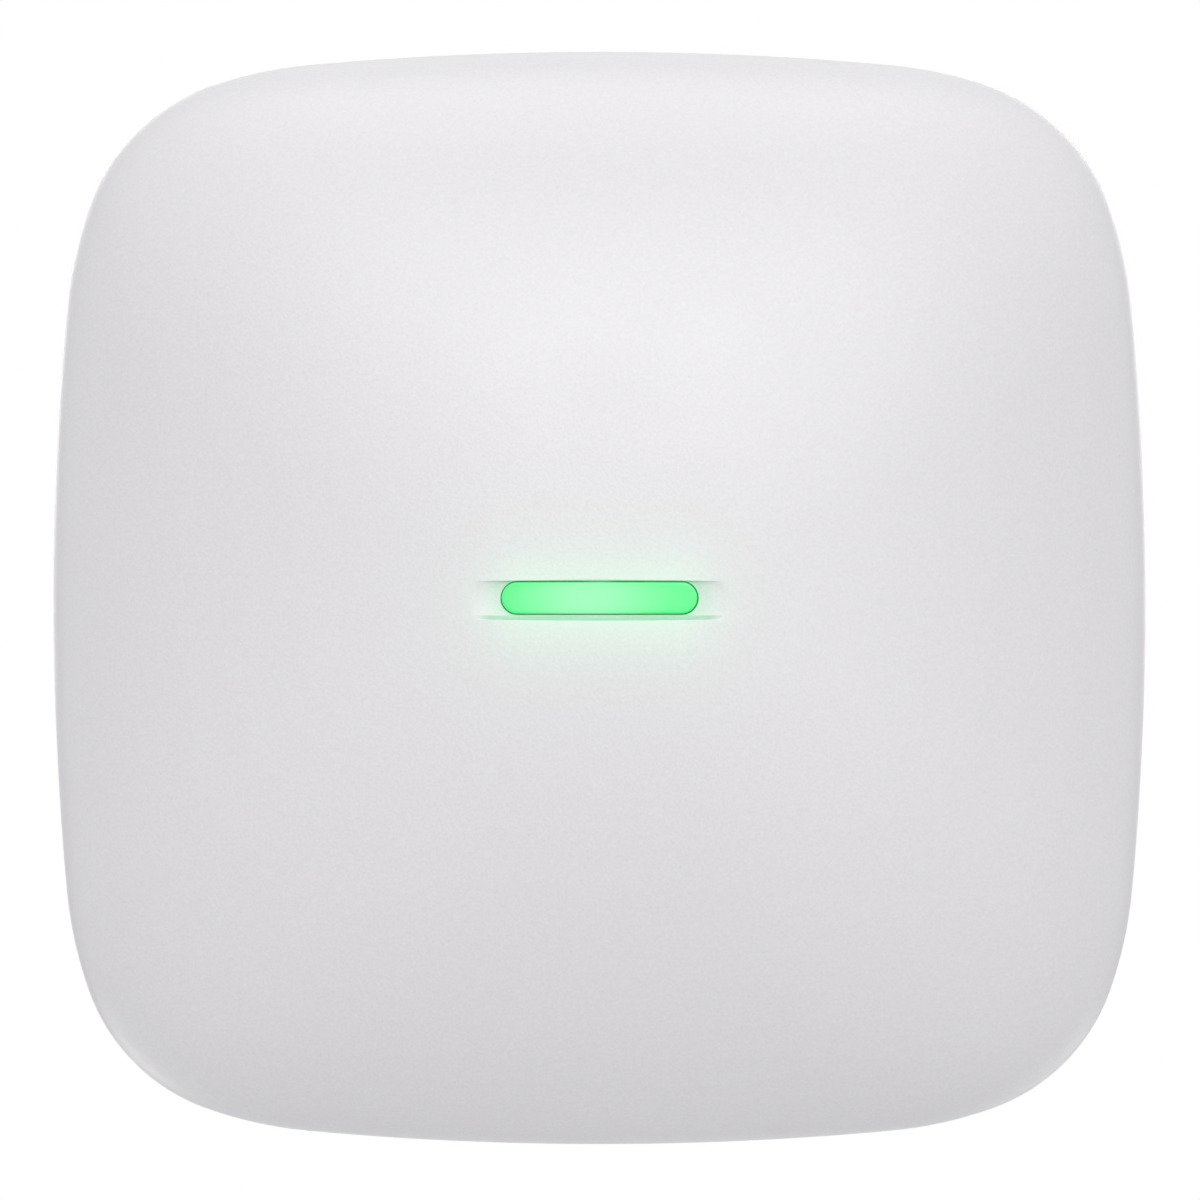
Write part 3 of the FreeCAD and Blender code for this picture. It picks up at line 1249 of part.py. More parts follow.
def power_board():
    wide = box(
        POWER_BOARD_STEP_X,
        POWER_BOARD_RIGHT,
        POWER_BOARD_BOTTOM,
        POWER_BOARD_TOP,
        POWER_BOARD_Z,
        POWER_BOARD_FRONT_Z,
    )
    arm = box(
        POWER_BOARD_LEFT,
        POWER_BOARD_RIGHT,
        POWER_BOARD_ARM_BOTTOM,
        POWER_BOARD_TOP,
        POWER_BOARD_Z,
        POWER_BOARD_FRONT_Z,
    )
    holes = []
    for x, y in POWER_BOARD_SCREWS:
        holes.append(board_hole(x, y, POWER_BOARD_Z, BOARD_SCREW_RADIUS + BOARD_HOLE_CLEARANCE))
    for x in link_places():
        holes.append(board_hole(x, LINK_Y, POWER_BOARD_Z, LINK_PIN_RADIUS))
    hole_span = (POWER_BOARD_Z - OVERCUT, POWER_BOARD_FRONT_Z + OVERCUT)
    for x in (-INLET_PIN_X, INLET_PIN_X):
        holes.append(inlet_tail(x, SCREW_HOLE_CLEARANCE, *hole_span))
    return drilled(wide.fuse(arm), holes)


def inlet_tail(x, grow, back, front):
    half = INLET_TAIL_SIDE / 2 + grow
    return box(x - half, x + half, INLET_TAIL_Y - half, INLET_TAIL_Y + half, back, front)


def mains_inlet():
    """Two-pin appliance inlet: it opens downwards into the plug pocket."""
    nose_y = PLUG_POCKET_TOP_Y
    body_y = PLUG_POCKET_TOP_Y + PLUG_POCKET_WALL
    body = box(
        -INLET_WIDTH / 2,
        INLET_WIDTH / 2,
        body_y,
        body_y + INLET_BODY_LENGTH,
        POWER_BOARD_FRONT_Z,
        POWER_BOARD_FRONT_Z + INLET_BODY_HEIGHT,
    )
    nose = box(
        -INLET_NOSE_WIDTH / 2,
        INLET_NOSE_WIDTH / 2,
        nose_y,
        body_y + OVERCUT,
        INLET_Z - INLET_NOSE_HEIGHT / 2,
        INLET_Z + INLET_NOSE_HEIGHT / 2,
    )
    socket = [
        Part.makeCylinder(
            INLET_SOCKET_RADIUS,
            INLET_SOCKET_DEPTH + OVERCUT,
            point(side * INLET_SOCKET_SPACING, nose_y - OVERCUT, INLET_Z),
            point(0, 1, 0),
        )
        for side in (-1, 1)
    ]
    return drilled(body.fuse(nose), socket + mains_pins())


def mains_pins():
    """The two contact pins, each with a tail down through the power board."""
    start = PLUG_POCKET_TOP_Y + INLET_PIN_SHORT_OF_MOUTH
    end = PLUG_POCKET_TOP_Y + INLET_SOCKET_DEPTH + INLET_PIN_ROOT
    pins = []
    for x in (-INLET_PIN_X, INLET_PIN_X):
        pin = Part.makeCylinder(INLET_PIN_RADIUS, end - start, point(x, start, INLET_Z), point(0, 1, 0))
        tip = min(pin.Edges, key=lambda e: e.CenterOfMass.y)
        pin = pin.makeChamfer(INLET_PIN_RADIUS / 3, [tip])
        half = INLET_TAIL_SIDE / 2
        bridge = box(x - half, x + half, end - half, INLET_TAIL_Y + half, INLET_Z - half, INLET_Z + half)
        tail = inlet_tail(x, 0, POWER_BOARD_Z - INLET_TAIL_DROP, INLET_Z + half)
        pins.append(joined(pin, [bridge, tail]))
    return pins


def board_block(place, corner):
    left, bottom, width, length, height = place
    back = POWER_BOARD_FRONT_Z
    return rounded_box(left, left + width, bottom, bottom + length, back, back + height, corner)


def transformer():
    """Ferrite core band round a wound bobbin, on a moulded foot."""
    left, bottom, width, length, height = TRANSFORMER
    right = left + width
    top = bottom + length
    back = POWER_BOARD_FRONT_Z
    front = back + height
    foot_front = back + TRANSFORMER_FOOT
    inset = TRANSFORMER_WINDING_INSET
    winding = rounded_box(
        left + inset, right - inset, bottom, top, foot_front - inset / 2, front - inset, TRANSFORMER_CORNER
    )
    foot = box(left, right, bottom + inset / 2, top - inset / 2, back, foot_front)
    core_bottom = (bottom + top - TRANSFORMER_CORE_LENGTH) / 2
    core = box(left, right, core_bottom, core_bottom + TRANSFORMER_CORE_LENGTH, foot_front, front)
    return joined(core, [winding, foot])


def bulk_capacitor():
    """Lying electrolytic can with the usual groove near one end."""
    z = POWER_BOARD_FRONT_Z + BULK_CAPACITOR_RADIUS
    start = point(BULK_CAPACITOR_LEFT, BULK_CAPACITOR_Y, z)
    can = Part.makeCylinder(BULK_CAPACITOR_RADIUS, BULK_CAPACITOR_LENGTH, start, point(1, 0, 0))
    can = can.makeFillet(CAPACITOR_EDGE, flat_edges(can, "XLength"))
    groove_centre = point(BULK_CAPACITOR_LEFT + CAPACITOR_GROOVE_PLACE, BULK_CAPACITOR_Y, z)
    ring_radius = BULK_CAPACITOR_RADIUS + CAPACITOR_GROOVE_RADIUS - CAPACITOR_GROOVE_DEPTH
    return can.cut(Part.makeTorus(ring_radius, CAPACITOR_GROOVE_RADIUS, groove_centre, point(1, 0, 0)))


def output_capacitor():
    back = POWER_BOARD_FRONT_Z
    can = rod(
        OUTPUT_CAPACITOR_X,
        OUTPUT_CAPACITOR_Y,
        back,
        back + OUTPUT_CAPACITOR_HEIGHT,
        OUTPUT_CAPACITOR_RADIUS,
    )
    return can.makeFillet(CAPACITOR_EDGE, flat_edges(can, "ZLength"))


def surge_suppressor():
    """A disc standing on its edge."""
    z = POWER_BOARD_FRONT_Z + SUPPRESSOR_RADIUS
    disc = Part.makeCylinder(
        SUPPRESSOR_RADIUS, SUPPRESSOR_THICKNESS, point(SUPPRESSOR_X, SUPPRESSOR_Y, z), point(0, 1, 0)
    )
    return disc.makeFillet(SUPPRESSOR_EDGE, flat_edges(disc, "YLength"))


def insulating_barrier():
    top = box(
        BARRIER_LEFT, BARRIER_RIGHT, BARRIER_BOTTOM, BARRIER_TOP, BARRIER_Z, BARRIER_Z + BARRIER_SHEET
    )
    left_leg = box(
        BARRIER_LEFT, BARRIER_LEFT + BARRIER_SHEET, BARRIER_BOTTOM, BARRIER_TOP, FLOOR_Z, BARRIER_Z
    )
    right_leg = box(
        BARRIER_RIGHT - BARRIER_SHEET, BARRIER_RIGHT, BARRIER_BOTTOM, BARRIER_TOP, FLOOR_Z, BARRIER_Z
    )
    margin = BARRIER_NOTCH_MARGIN
    notch = box(
        LINK_FIRST_X - margin,
        LINK_FIRST_X + LINK_PITCH * (LINK_COUNT - 1) + margin,
        LINK_Y - margin,
        BARRIER_TOP + OVERCUT,
        BARRIER_Z - OVERCUT,
        BARRIER_Z + BARRIER_SHEET + OVERCUT,
    )
    return joined(top, [left_leg, right_leg]).cut(notch)


# Battery.


def battery_cell():
    cell = Part.makeCylinder(
        CELL_RADIUS, CELL_LENGTH, point(CELL_X, CELL_BOTTOM_Y, CELL_Z), point(0, 1, 0)
    )
    cell = cell.makeFillet(CELL_EDGE, flat_edges(cell, "YLength"))
    nub_start = point(CELL_X, cell_end_y() - OVERCUT, CELL_Z)
    nub = Part.makeCylinder(CELL_NUB_RADIUS, CELL_NUB_LENGTH + OVERCUT, nub_start, point(0, 1, 0))
    return cell.fuse(nub)


def cell_end_y():
    return CELL_BOTTOM_Y + CELL_LENGTH


def battery_guard_board():
    """Round protection board on the cell's end, where the lead is soldered."""
    start = point(CELL_X, cell_end_y() + CELL_NUB_LENGTH, CELL_Z)
    return Part.makeCylinder(CELL_CAP_RADIUS, CELL_CAP_THICKNESS, start, point(0, 1, 0))


def battery_pad():
    y = CELL_BOTTOM_Y + CELL_LENGTH / 2
    pad = box(
        CELL_X - PAD_WIDTH / 2,
        CELL_X + PAD_WIDTH / 2,
        y - PAD_LENGTH / 2,
        y + PAD_LENGTH / 2,
        FLOOR_Z,
        CELL_Z - CELL_RADIUS + PAD_THICKNESS,
    )
    cell = Part.makeCylinder(
        CELL_RADIUS, CELL_LENGTH, point(CELL_X, CELL_BOTTOM_Y, CELL_Z), point(0, 1, 0)
    )
    return pad.cut(cell)


def battery_strap():
    """A sprung band over the cell, with straight legs down to the floor."""
    inner = CELL_RADIUS + STRAP_CLEARANCE
    outer = inner + STRAP_SHEET
    y = CELL_BOTTOM_Y + (CELL_LENGTH - STRAP_WIDTH) / 2
    ring = Part.makeCylinder(outer, STRAP_WIDTH, point(CELL_X, y, CELL_Z), point(0, 1, 0))
    legs = box(CELL_X - outer, CELL_X + outer, y, y + STRAP_WIDTH, FLOOR_Z, CELL_Z)
    low = y - OVERCUT
    high = y + STRAP_WIDTH + OVERCUT
    space = Part.makeCylinder(inner, high - low, point(CELL_X, low, CELL_Z), point(0, 1, 0))
    gap = box(CELL_X - inner, CELL_X + inner, low, high, FLOOR_Z - OVERCUT, CELL_Z)
    return ring.fuse(legs).cut(space).cut(gap)


def battery_socket():
    """Shrouded header on the main board, open to the left."""
    right = SOCKET_LEFT + SOCKET_LENGTH
    half = SOCKET_WIDTH / 2
    front = MAIN_BOARD_FRONT_Z + SOCKET_HEIGHT
    body = box(SOCKET_LEFT, right, SOCKET_Y - half, SOCKET_Y + half, MAIN_BOARD_FRONT_Z, front)
    inside = box(
        SOCKET_LEFT - OVERCUT,
        right - SOCKET_WALL,
        SOCKET_Y - half + SOCKET_WALL,
        SOCKET_Y + half - SOCKET_WALL,
        MAIN_BOARD_FRONT_Z + SOCKET_WALL,
        front - SOCKET_WALL,
    )
    return body.cut(inside)


def battery_plug():
    right = SOCKET_LEFT + SOCKET_LENGTH - SOCKET_WALL
    half = SOCKET_WIDTH / 2 - SOCKET_WALL - PLUG_CLEARANCE
    back = MAIN_BOARD_FRONT_Z + SOCKET_WALL + PLUG_CLEARANCE
    front = MAIN_BOARD_FRONT_Z + SOCKET_HEIGHT - SOCKET_WALL - PLUG_CLEARANCE
    return box(right - PLUG_LENGTH, right, SOCKET_Y - half, SOCKET_Y + half, back, front)


def corner_arc(start, corner, end):
    """The arc that leaves start towards corner and reaches end from it, both as far from the corner."""
    reach = (corner - start).Length
    turn = (corner - start).getAngle(end - corner)
    inward = start + end - corner * 2
    sagitta = reach / math.tan(turn / 2) * (1 / math.cos(turn / 2) - 1)
    return Part.Arc(start, corner + inward.normalize() * sagitta, end).toShape()


def smooth_path(places):
    """Straight runs joined by tangent arcs, each as large as its two runs allow."""
    edges = []
    start = places[0]
    for before, corner, after in zip(places, places[1:], places[2:]):
        run_in = corner - before
        run_out = after - corner
        turn = run_in.getAngle(run_out)
        cut = BEND_SHARE * min(run_in.Length, run_out.Length)
        print("lead bend radius", round(cut / math.tan(turn / 2), 1))
        arc_start = corner - run_in.normalize() * cut
        arc_end = corner + run_out.normalize() * cut
        edges.append(Part.LineSegment(start, arc_start).toShape())
        edges.append(corner_arc(arc_start, corner, arc_end))
        start = arc_end
    edges.append(Part.LineSegment(start, places[-1]).toShape())
    return Part.Wire(edges)


def battery_lead(side):
    """One wire of the lead, from the cell's end to the plug on the main board."""
    shift = side * LEAD_SPACING / 2
    plug_left = SOCKET_LEFT + SOCKET_LENGTH - SOCKET_WALL - PLUG_LENGTH
    plug_z = MAIN_BOARD_FRONT_Z + SOCKET_HEIGHT / 2
    start_y = cell_end_y() + CELL_NUB_LENGTH + CELL_CAP_THICKNESS
    start_x = CELL_X - LEAD_START_LEFT - shift
    start_z = CELL_Z + LEAD_START_ABOVE
    bend_y = start_y + LEAD_FIRST_RUN
    places = [
        point(start_x, start_y, start_z),
        point(start_x, bend_y, start_z),
        point(CELL_X - LEAD_CREST_LEFT - shift, (bend_y + SOCKET_Y) / 2, CELL_Z + LEAD_CREST_ABOVE),
        point(plug_left - LEAD_LAST_RUN, SOCKET_Y + shift, plug_z),
        point(plug_left, SOCKET_Y + shift, plug_z),
    ]
    path = smooth_path(places)
    circle = Part.Wire(Part.makeCircle(LEAD_DIAMETER / 2, places[0], places[1] - places[0]))
    return path.makePipeShell([circle], True, False)


def build():
    os.makedirs("parts", exist_ok=True)
    save("front_cover", [front_cover()])
    save("rear_housing", [rear_housing()])
    save("wall_bracket", [wall_bracket()])
    save("case_screws", case_screws())
    save("blank_label", [blank_label()])
    save("indicator_window", [indicator_window()])
    save("light_guide", [light_guide()])
    save("light_shroud", [light_shroud()])
    save("status_lamps", status_lamps())
    save("tamper_button", [tamper_button()])
    save("tamper_spring", [tamper_spring()])
    save("tamper_switch", [tamper_switch()])
    save("power_button", [power_button()])
    save("power_switch", [power_switch()])
    save("power_switch_plunger", [power_switch_plunger()])
    save("main_board", [main_board()])
    save("main_board_screws", main_board_screws())
    save("radio_shields", radio_shields())
    save("board_chips", board_chips())
    save("antenna_left", [antenna(ANTENNA_LEFT_START)])
    save("antenna_right", [antenna(ANTENNA_RIGHT_START)])
    save("board_link_pins", link_pins())
    save("board_link_base", [link_base()])
    save("power_board", [power_board()])
    save("power_board_screws", power_board_screws())
    save("mains_inlet", [mains_inlet()])
    save("mains_pins", mains_pins())
    save("transformer", [transformer()])
    save("filter_capacitor", [board_block(FILTER_CAPACITOR, BLOCK_CORNER)])
    save("mains_fuse", [board_block(FUSE, FUSE_CORNER)])
    save("rectifier", [board_block(RECTIFIER, BLOCK_CORNER)])
    save("surge_suppressor", [surge_suppressor()])
    save("bulk_capacitor", [bulk_capacitor()])
    save("output_capacitor", [output_capacitor()])
    save("insulating_barrier", [insulating_barrier()])
    save("battery_cell", [battery_cell()])
    save("battery_guard_board", [battery_guard_board()])
    save("battery_pad", [battery_pad()])
    save("battery_strap", [battery_strap()])
    save("battery_socket", [battery_socket()])
    save("battery_plug", [battery_plug()])
    save("battery_lead_red", [battery_lead(1)])
    save("battery_lead_black", [battery_lead(-1)])


build()
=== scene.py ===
"""Looks of the wall-hung repeater: white pillow-shaped case with a lit window in its front."""
import math
import bmesh
import bpy
import numpy
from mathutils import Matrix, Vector


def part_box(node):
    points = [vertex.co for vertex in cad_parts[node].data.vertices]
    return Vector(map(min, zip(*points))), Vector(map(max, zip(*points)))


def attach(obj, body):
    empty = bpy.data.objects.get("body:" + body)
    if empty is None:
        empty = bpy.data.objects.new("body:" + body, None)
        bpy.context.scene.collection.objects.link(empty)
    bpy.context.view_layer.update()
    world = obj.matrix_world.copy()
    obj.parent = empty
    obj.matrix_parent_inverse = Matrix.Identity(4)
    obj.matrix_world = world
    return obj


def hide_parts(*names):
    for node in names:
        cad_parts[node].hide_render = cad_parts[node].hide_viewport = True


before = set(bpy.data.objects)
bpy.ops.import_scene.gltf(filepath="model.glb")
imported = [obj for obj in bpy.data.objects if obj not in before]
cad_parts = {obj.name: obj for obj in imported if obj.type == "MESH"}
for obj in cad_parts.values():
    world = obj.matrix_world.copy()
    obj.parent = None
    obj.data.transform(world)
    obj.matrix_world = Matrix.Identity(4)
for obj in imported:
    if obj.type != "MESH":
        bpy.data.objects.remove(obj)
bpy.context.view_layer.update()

# Lengths are written in millimetres as seen from the front: x to the right, y up, z out of the wall.
MM = 0.001

# Outline of the case. The half side and the depth are 0.015 and 0.01 mm under the solid's 81.5 and
# 36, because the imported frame's flat facets stand that much inside the true curve.
HALF_SIDE = 81.485
SIDE_RADIUS = 475.0
SIDE_HALF_TURN = math.radians(5.25)
SHOULDER_RADIUS = 62.3
SHOULDER_TURN = math.radians(14.3)

# Cover.
CASE_DEPTH = 35.99
COVER_BASE = 12.35
COVER_WALL = 2.4
DOME_POWER = 2.3
DOME_ROUNDNESS = 0.75
RIM_ROUND = 0.25
LIP_INSET = 1.05
LIP_TOP = 13.9
LIP_STEP = 0.2

# Lit window and the dished recess round it.
WINDOW_LENGTH = 28.6
WINDOW_HEIGHT = 4.6
WINDOW_CLEARANCE = 0.16
SEAT_Z = 33.0
SEAT_BORDER = 3.6
DISH_DEPTH = 0.75
DISH_BORDER = 0.25
DISH_DROP = 0.35
DISH_SIDE_RUN = 0.4
DISH_END_RUN = 9.4
EDGE_ROUND = 0.1
WINDOW_PROUD = 0.1
WINDOW_CROWN_RADIUS = 480.0
WINDOW_EDGE_ROUND = 0.12
SLOT_EDGE_DEPTH = 0.06
SEAT_FLARE = 1.02
SEAT_STEP = 0.1

# Rings of the cover's skin: over its rim, up the dome, over the face to the recess, and inside.
RIM_STEPS = 3
DOME_STEPS = 34
FACE_STEPS = 22
INNER_STEPS = 16
# The dome's rings start this many rim radii above its base and end at this share of its half width.
# From there the face's rings close on the recess, a part of the way eased.
DOME_FIRST_RISE = 1.6
DOME_LAST_SHARE = 0.38
FACE_EASE = 0.25
# Rounding at the recess's mouth along and across it, its rings, and the rings from there to the slot.
MOUTH_ROUND_X = 0.9
MOUTH_ROUND_Y = 0.35
MOUTH_PARTS = (1.0, 0.6, 0.3, 0.0, -0.3, -0.6)
RECESS_PARTS = (0.25, 0.5, 0.7, 0.85, 0.95, 1.0)
# The inside's rings start at this share of its half width and end this turn, in radians, above the rim.
INNER_FIRST_SHARE = 0.5
INNER_LAST_TURN = 0.065
# Rings of the window's face and of its rounded edge.
CROWN_STEPS = 8
EDGE_STEPS = 4

# Fineness of the dome's table of radii: shares of the half width, directions, points of the outline.
TABLE_SHARES = 400
TABLE_BEARINGS = 720
TABLE_POINTS = 1440

# Points closer than this, in metres, are one, and edges sharper than this angle stay sharp.
SAME_POINT = 1e-8
SHARP_ANGLE = math.radians(40)


def place(x, y, z):
    """A point of the object, in metres, in the frame's own axes."""
    return (x * MM, -z * MM, y * MM)


# Outline and dome

def outline_arcs():
    """Arcs of an eighth of the outline: the normal's angle at each one's end, its centre and radius."""
    first = numpy.array([HALF_SIDE - SIDE_RADIUS, 0.0])
    turn = SIDE_HALF_TURN
    second = first + (SIDE_RADIUS - SHOULDER_RADIUS) * numpy.array([math.cos(turn), math.sin(turn)])
    turn += SHOULDER_TURN
    reach = (second[1] - second[0]) / (math.cos(turn) - math.sin(turn))
    third = second + reach * numpy.array([math.cos(turn), math.sin(turn)])
    return [(SIDE_HALF_TURN, first, SIDE_RADIUS), (turn, second, SHOULDER_RADIUS),
            (math.pi / 4, third, SHOULDER_RADIUS - reach)]


ARCS = outline_arcs()


def outline_point(angle):
    """Point of the outline whose outward normal has this angle."""
    quarter = math.floor(angle / (math.pi / 2) + 1e-9)
    local = angle - quarter * math.pi / 2
    mirrored = local > math.pi / 4
    if mirrored:
        local = math.pi / 2 - local
    for limit, centre, radius in ARCS:
        if local <= limit + 1e-12:
            break
    x = centre[0] + radius * math.cos(local)
    y = centre[1] + radius * math.sin(local)
    if mirrored:
        x, y = y, x
    for _ in range(quarter % 4):
        x, y = -y, x
    return x, y


def outline_angles():
    """Normal angles round the outline, closer together where it bends."""
    side, shoulder = ARCS[0][0], ARCS[1][0]
    limits = [0.0, side, shoulder, math.pi / 2 - shoulder, math.pi / 2 - side, math.pi / 2]
    counts = [12, 8, 16, 8, 12]
    angles = []
    for quarter in range(4):
        for start, end, count in zip(limits, limits[1:], counts):
            for step in range(count):
                angles.append(quarter * math.pi / 2 + start + (end - start) * step / count)
    return angles


ANGLES = outline_angles()
AROUND = len(ANGLES)
OUTLINE = numpy.array([outline_point(a) for a in ANGLES])
NORMALS = numpy.array([(math.cos(a), math.sin(a)) for a in ANGLES])


def section(share, half, points=OUTLINE, normals=NORMALS):
    """The dome's outline at one share of its half width."""
    rounded = share * DOME_ROUNDNESS * (1 - share)
    return (share - rounded) * half / HALF_SIDE * points + rounded * half * normals


def height_at_share(share, top):
    """The dome's height at one share of its half width."""
    return COVER_BASE + (top - COVER_BASE) * numpy.sqrt(numpy.clip(1 - share ** DOME_POWER, 0, 1))


class Dome:
    """Height of the dome over any point, from a table of its radius by direction and share."""

    def __init__(self, half, top):
        self.top = top
        self.shares = numpy.linspace(0.0, 1.0, TABLE_SHARES + 1)[1:]
        self.bearings = numpy.linspace(-math.pi, math.pi, TABLE_BEARINGS + 1)
        fine = numpy.linspace(0, 2 * math.pi, TABLE_POINTS + 1)[:-1]
        points = numpy.array([outline_point(a) for a in fine])
        normals = numpy.stack([numpy.cos(fine), numpy.sin(fine)], 1)
        rows = []
        for share in self.shares:
            ring = section(share, half, points, normals)
            bearing = numpy.arctan2(ring[:, 1], ring[:, 0])
            order = numpy.argsort(bearing)
            radius = numpy.hypot(ring[:, 0], ring[:, 1])[order]
            rows.append(numpy.interp(self.bearings, bearing[order], radius, period=2 * math.pi))
        self.table = numpy.array(rows)

    def share(self, x, y):
        bearing = math.atan2(y, x)
        spot = (bearing + math.pi) / (2 * math.pi) * (len(self.bearings) - 1)
        low = min(int(spot), len(self.bearings) - 2)
        part = spot - low
        radii = self.table[:, low] * (1 - part) + self.table[:, low + 1] * part
        return float(numpy.interp(math.hypot(x, y), radii, self.shares))

    def height(self, x, y):
        return float(height_at_share(self.share(x, y), self.top))


OUTER = Dome(HALF_SIDE, CASE_DEPTH)
INNER_HALF = HALF_SIDE - COVER_WALL
INNER_TOP = CASE_DEPTH - COVER_WALL


# Round-ended bars: the window, its slot and its recess

def bar_loop(length, height, drop=0.0):
    """Points of a round-ended bar, matched one to one with the outline's points."""
    run = (length - height) / 2
    radius = height / 2
    arc = radius * math.pi / 2
    quarter_length = run + arc
    per_quarter = AROUND // 4
    loop = []
    for index in range(AROUND):
        quarter, step = divmod(index, per_quarter)
        share = step / per_quarter
        if quarter % 2:
            share = 1 - share
        along = share * quarter_length
        if along < arc:
            turn = along / radius
            x = run + radius * math.cos(turn)
            y = radius * math.sin(turn)
        else:
            x = run - (along - arc)
            y = radius
        sign_x = 1 if quarter in (0, 3) else -1
        sign_y = 1 if quarter in (0, 1) else -1
        loop.append((sign_x * x, sign_y * y - drop))
    return numpy.array(loop)


def halved(low, high, times, too_low):
    """The place between two numbers where too_low stops holding, found by halving."""
    for _ in range(times):
        middle = (low + high) / 2
        if too_low(middle):
            low = middle
        else:
            high = middle
    return middle


def dish_share(x, y):
    """How far up the recess's slope a point lies, 0 at its floor and 1 a full depth above it."""
    run = (WINDOW_LENGTH - WINDOW_HEIGHT) / 2
    radius = WINDOW_HEIGHT / 2 + DISH_BORDER

    def outside(share):
        end = run + share * (DISH_END_RUN - DISH_SIDE_RUN)
        return math.hypot(max(abs(x) - end, 0.0), y + DISH_DROP) > radius + share * DISH_SIDE_RUN

    return halved(-0.2, 4.0, 40, outside)


def soft_min(a, b, width):
    """The lesser of two heights, with the edge between them rounded over this width."""
    blend = max(width - abs(a - b), 0.0) / width
    return min(a, b) - blend * blend * width / 4


def face_height(x, y):
    """Height of the cover's outer face, with its recess and softened edges."""
    floor = CASE_DEPTH - DISH_DEPTH
    slope = floor + DISH_DEPTH * dish_share(x, y)
    slope = -soft_min(-floor, -slope, EDGE_ROUND)
    return soft_min(OUTER.height(x, y), slope, EDGE_ROUND)


def mouth_point(near, far):
    """Where the way from the recess's floor up its slope meets the dome."""

    def under_dome(share):
        x, y = near + (far - near) * share
        return CASE_DEPTH - DISH_DEPTH + DISH_DEPTH * share < OUTER.height(x, y)

    return near + (far - near) * halved(0.0, 1.3, 30, under_dome)


def mouth_loop():
    """Where the recess's slope meets the dome."""
    small = bar_loop(WINDOW_LENGTH + 2 * DISH_BORDER, WINDOW_HEIGHT + 2 * DISH_BORDER, DISH_DROP)
    large = bar_loop(WINDOW_LENGTH + 2 * DISH_BORDER + 2 * DISH_END_RUN,
                     WINDOW_HEIGHT + 2 * DISH_BORDER + 2 * DISH_SIDE_RUN, DISH_DROP)
    return numpy.array([mouth_point(near, far) for near, far in zip(small, large)])


def mesh_object(name, rings, closed=True, second_from=None, second_to=None):
    """A skin over rings of points, each ring joined to the next and, if closed, the last to the first.
    The faces between the two given rings take the second material."""
    verts = []
    faces = []
    count = len(rings[0])
    for ring in rings:
        verts.extend(place(*p) for p in ring)
    for index in range(len(rings) if closed else len(rings) - 1):
        here = index * count
        there = ((index + 1) % len(rings)) * count
        for step in range(count):
            after = (step + 1) % count
            faces.append((here + step, here + after, there + after, there + step))
    mesh = bpy.data.meshes.new(name)
    mesh.from_pydata(verts, [], faces)
    mesh.update()
    if second_from is not None:
        for index in range(second_from * count, second_to * count):
            mesh.polygons[index].material_index = 1
    work = bmesh.new()
    work.from_mesh(mesh)
    bmesh.ops.remove_doubles(work, verts=work.verts, dist=SAME_POINT)
    bmesh.ops.recalc_face_normals(work, faces=work.faces)
    work.to_mesh(mesh)
    work.free()
    piece = bpy.data.objects.new(name, mesh)
    bpy.context.collection.objects.link(piece)
    mesh.shade_smooth()
    mesh.set_sharp_from_angle(angle=SHARP_ANGLE)
    return piece


def mark(piece, name, values):
    """Keeps one number for each point of a mesh, for its material to read."""
    layer = piece.data.attributes.new(name, "FLOAT", "POINT")
    layer.data.foreach_set("value", values)


def at_height(loop, z):
    """A ring at one height."""
    return [(x, y, z) for x, y in loop]


def on_face(loop):
    """A ring that lies on the cover's outer face."""
    return [(x, y, face_height(x, y)) for x, y in loop]


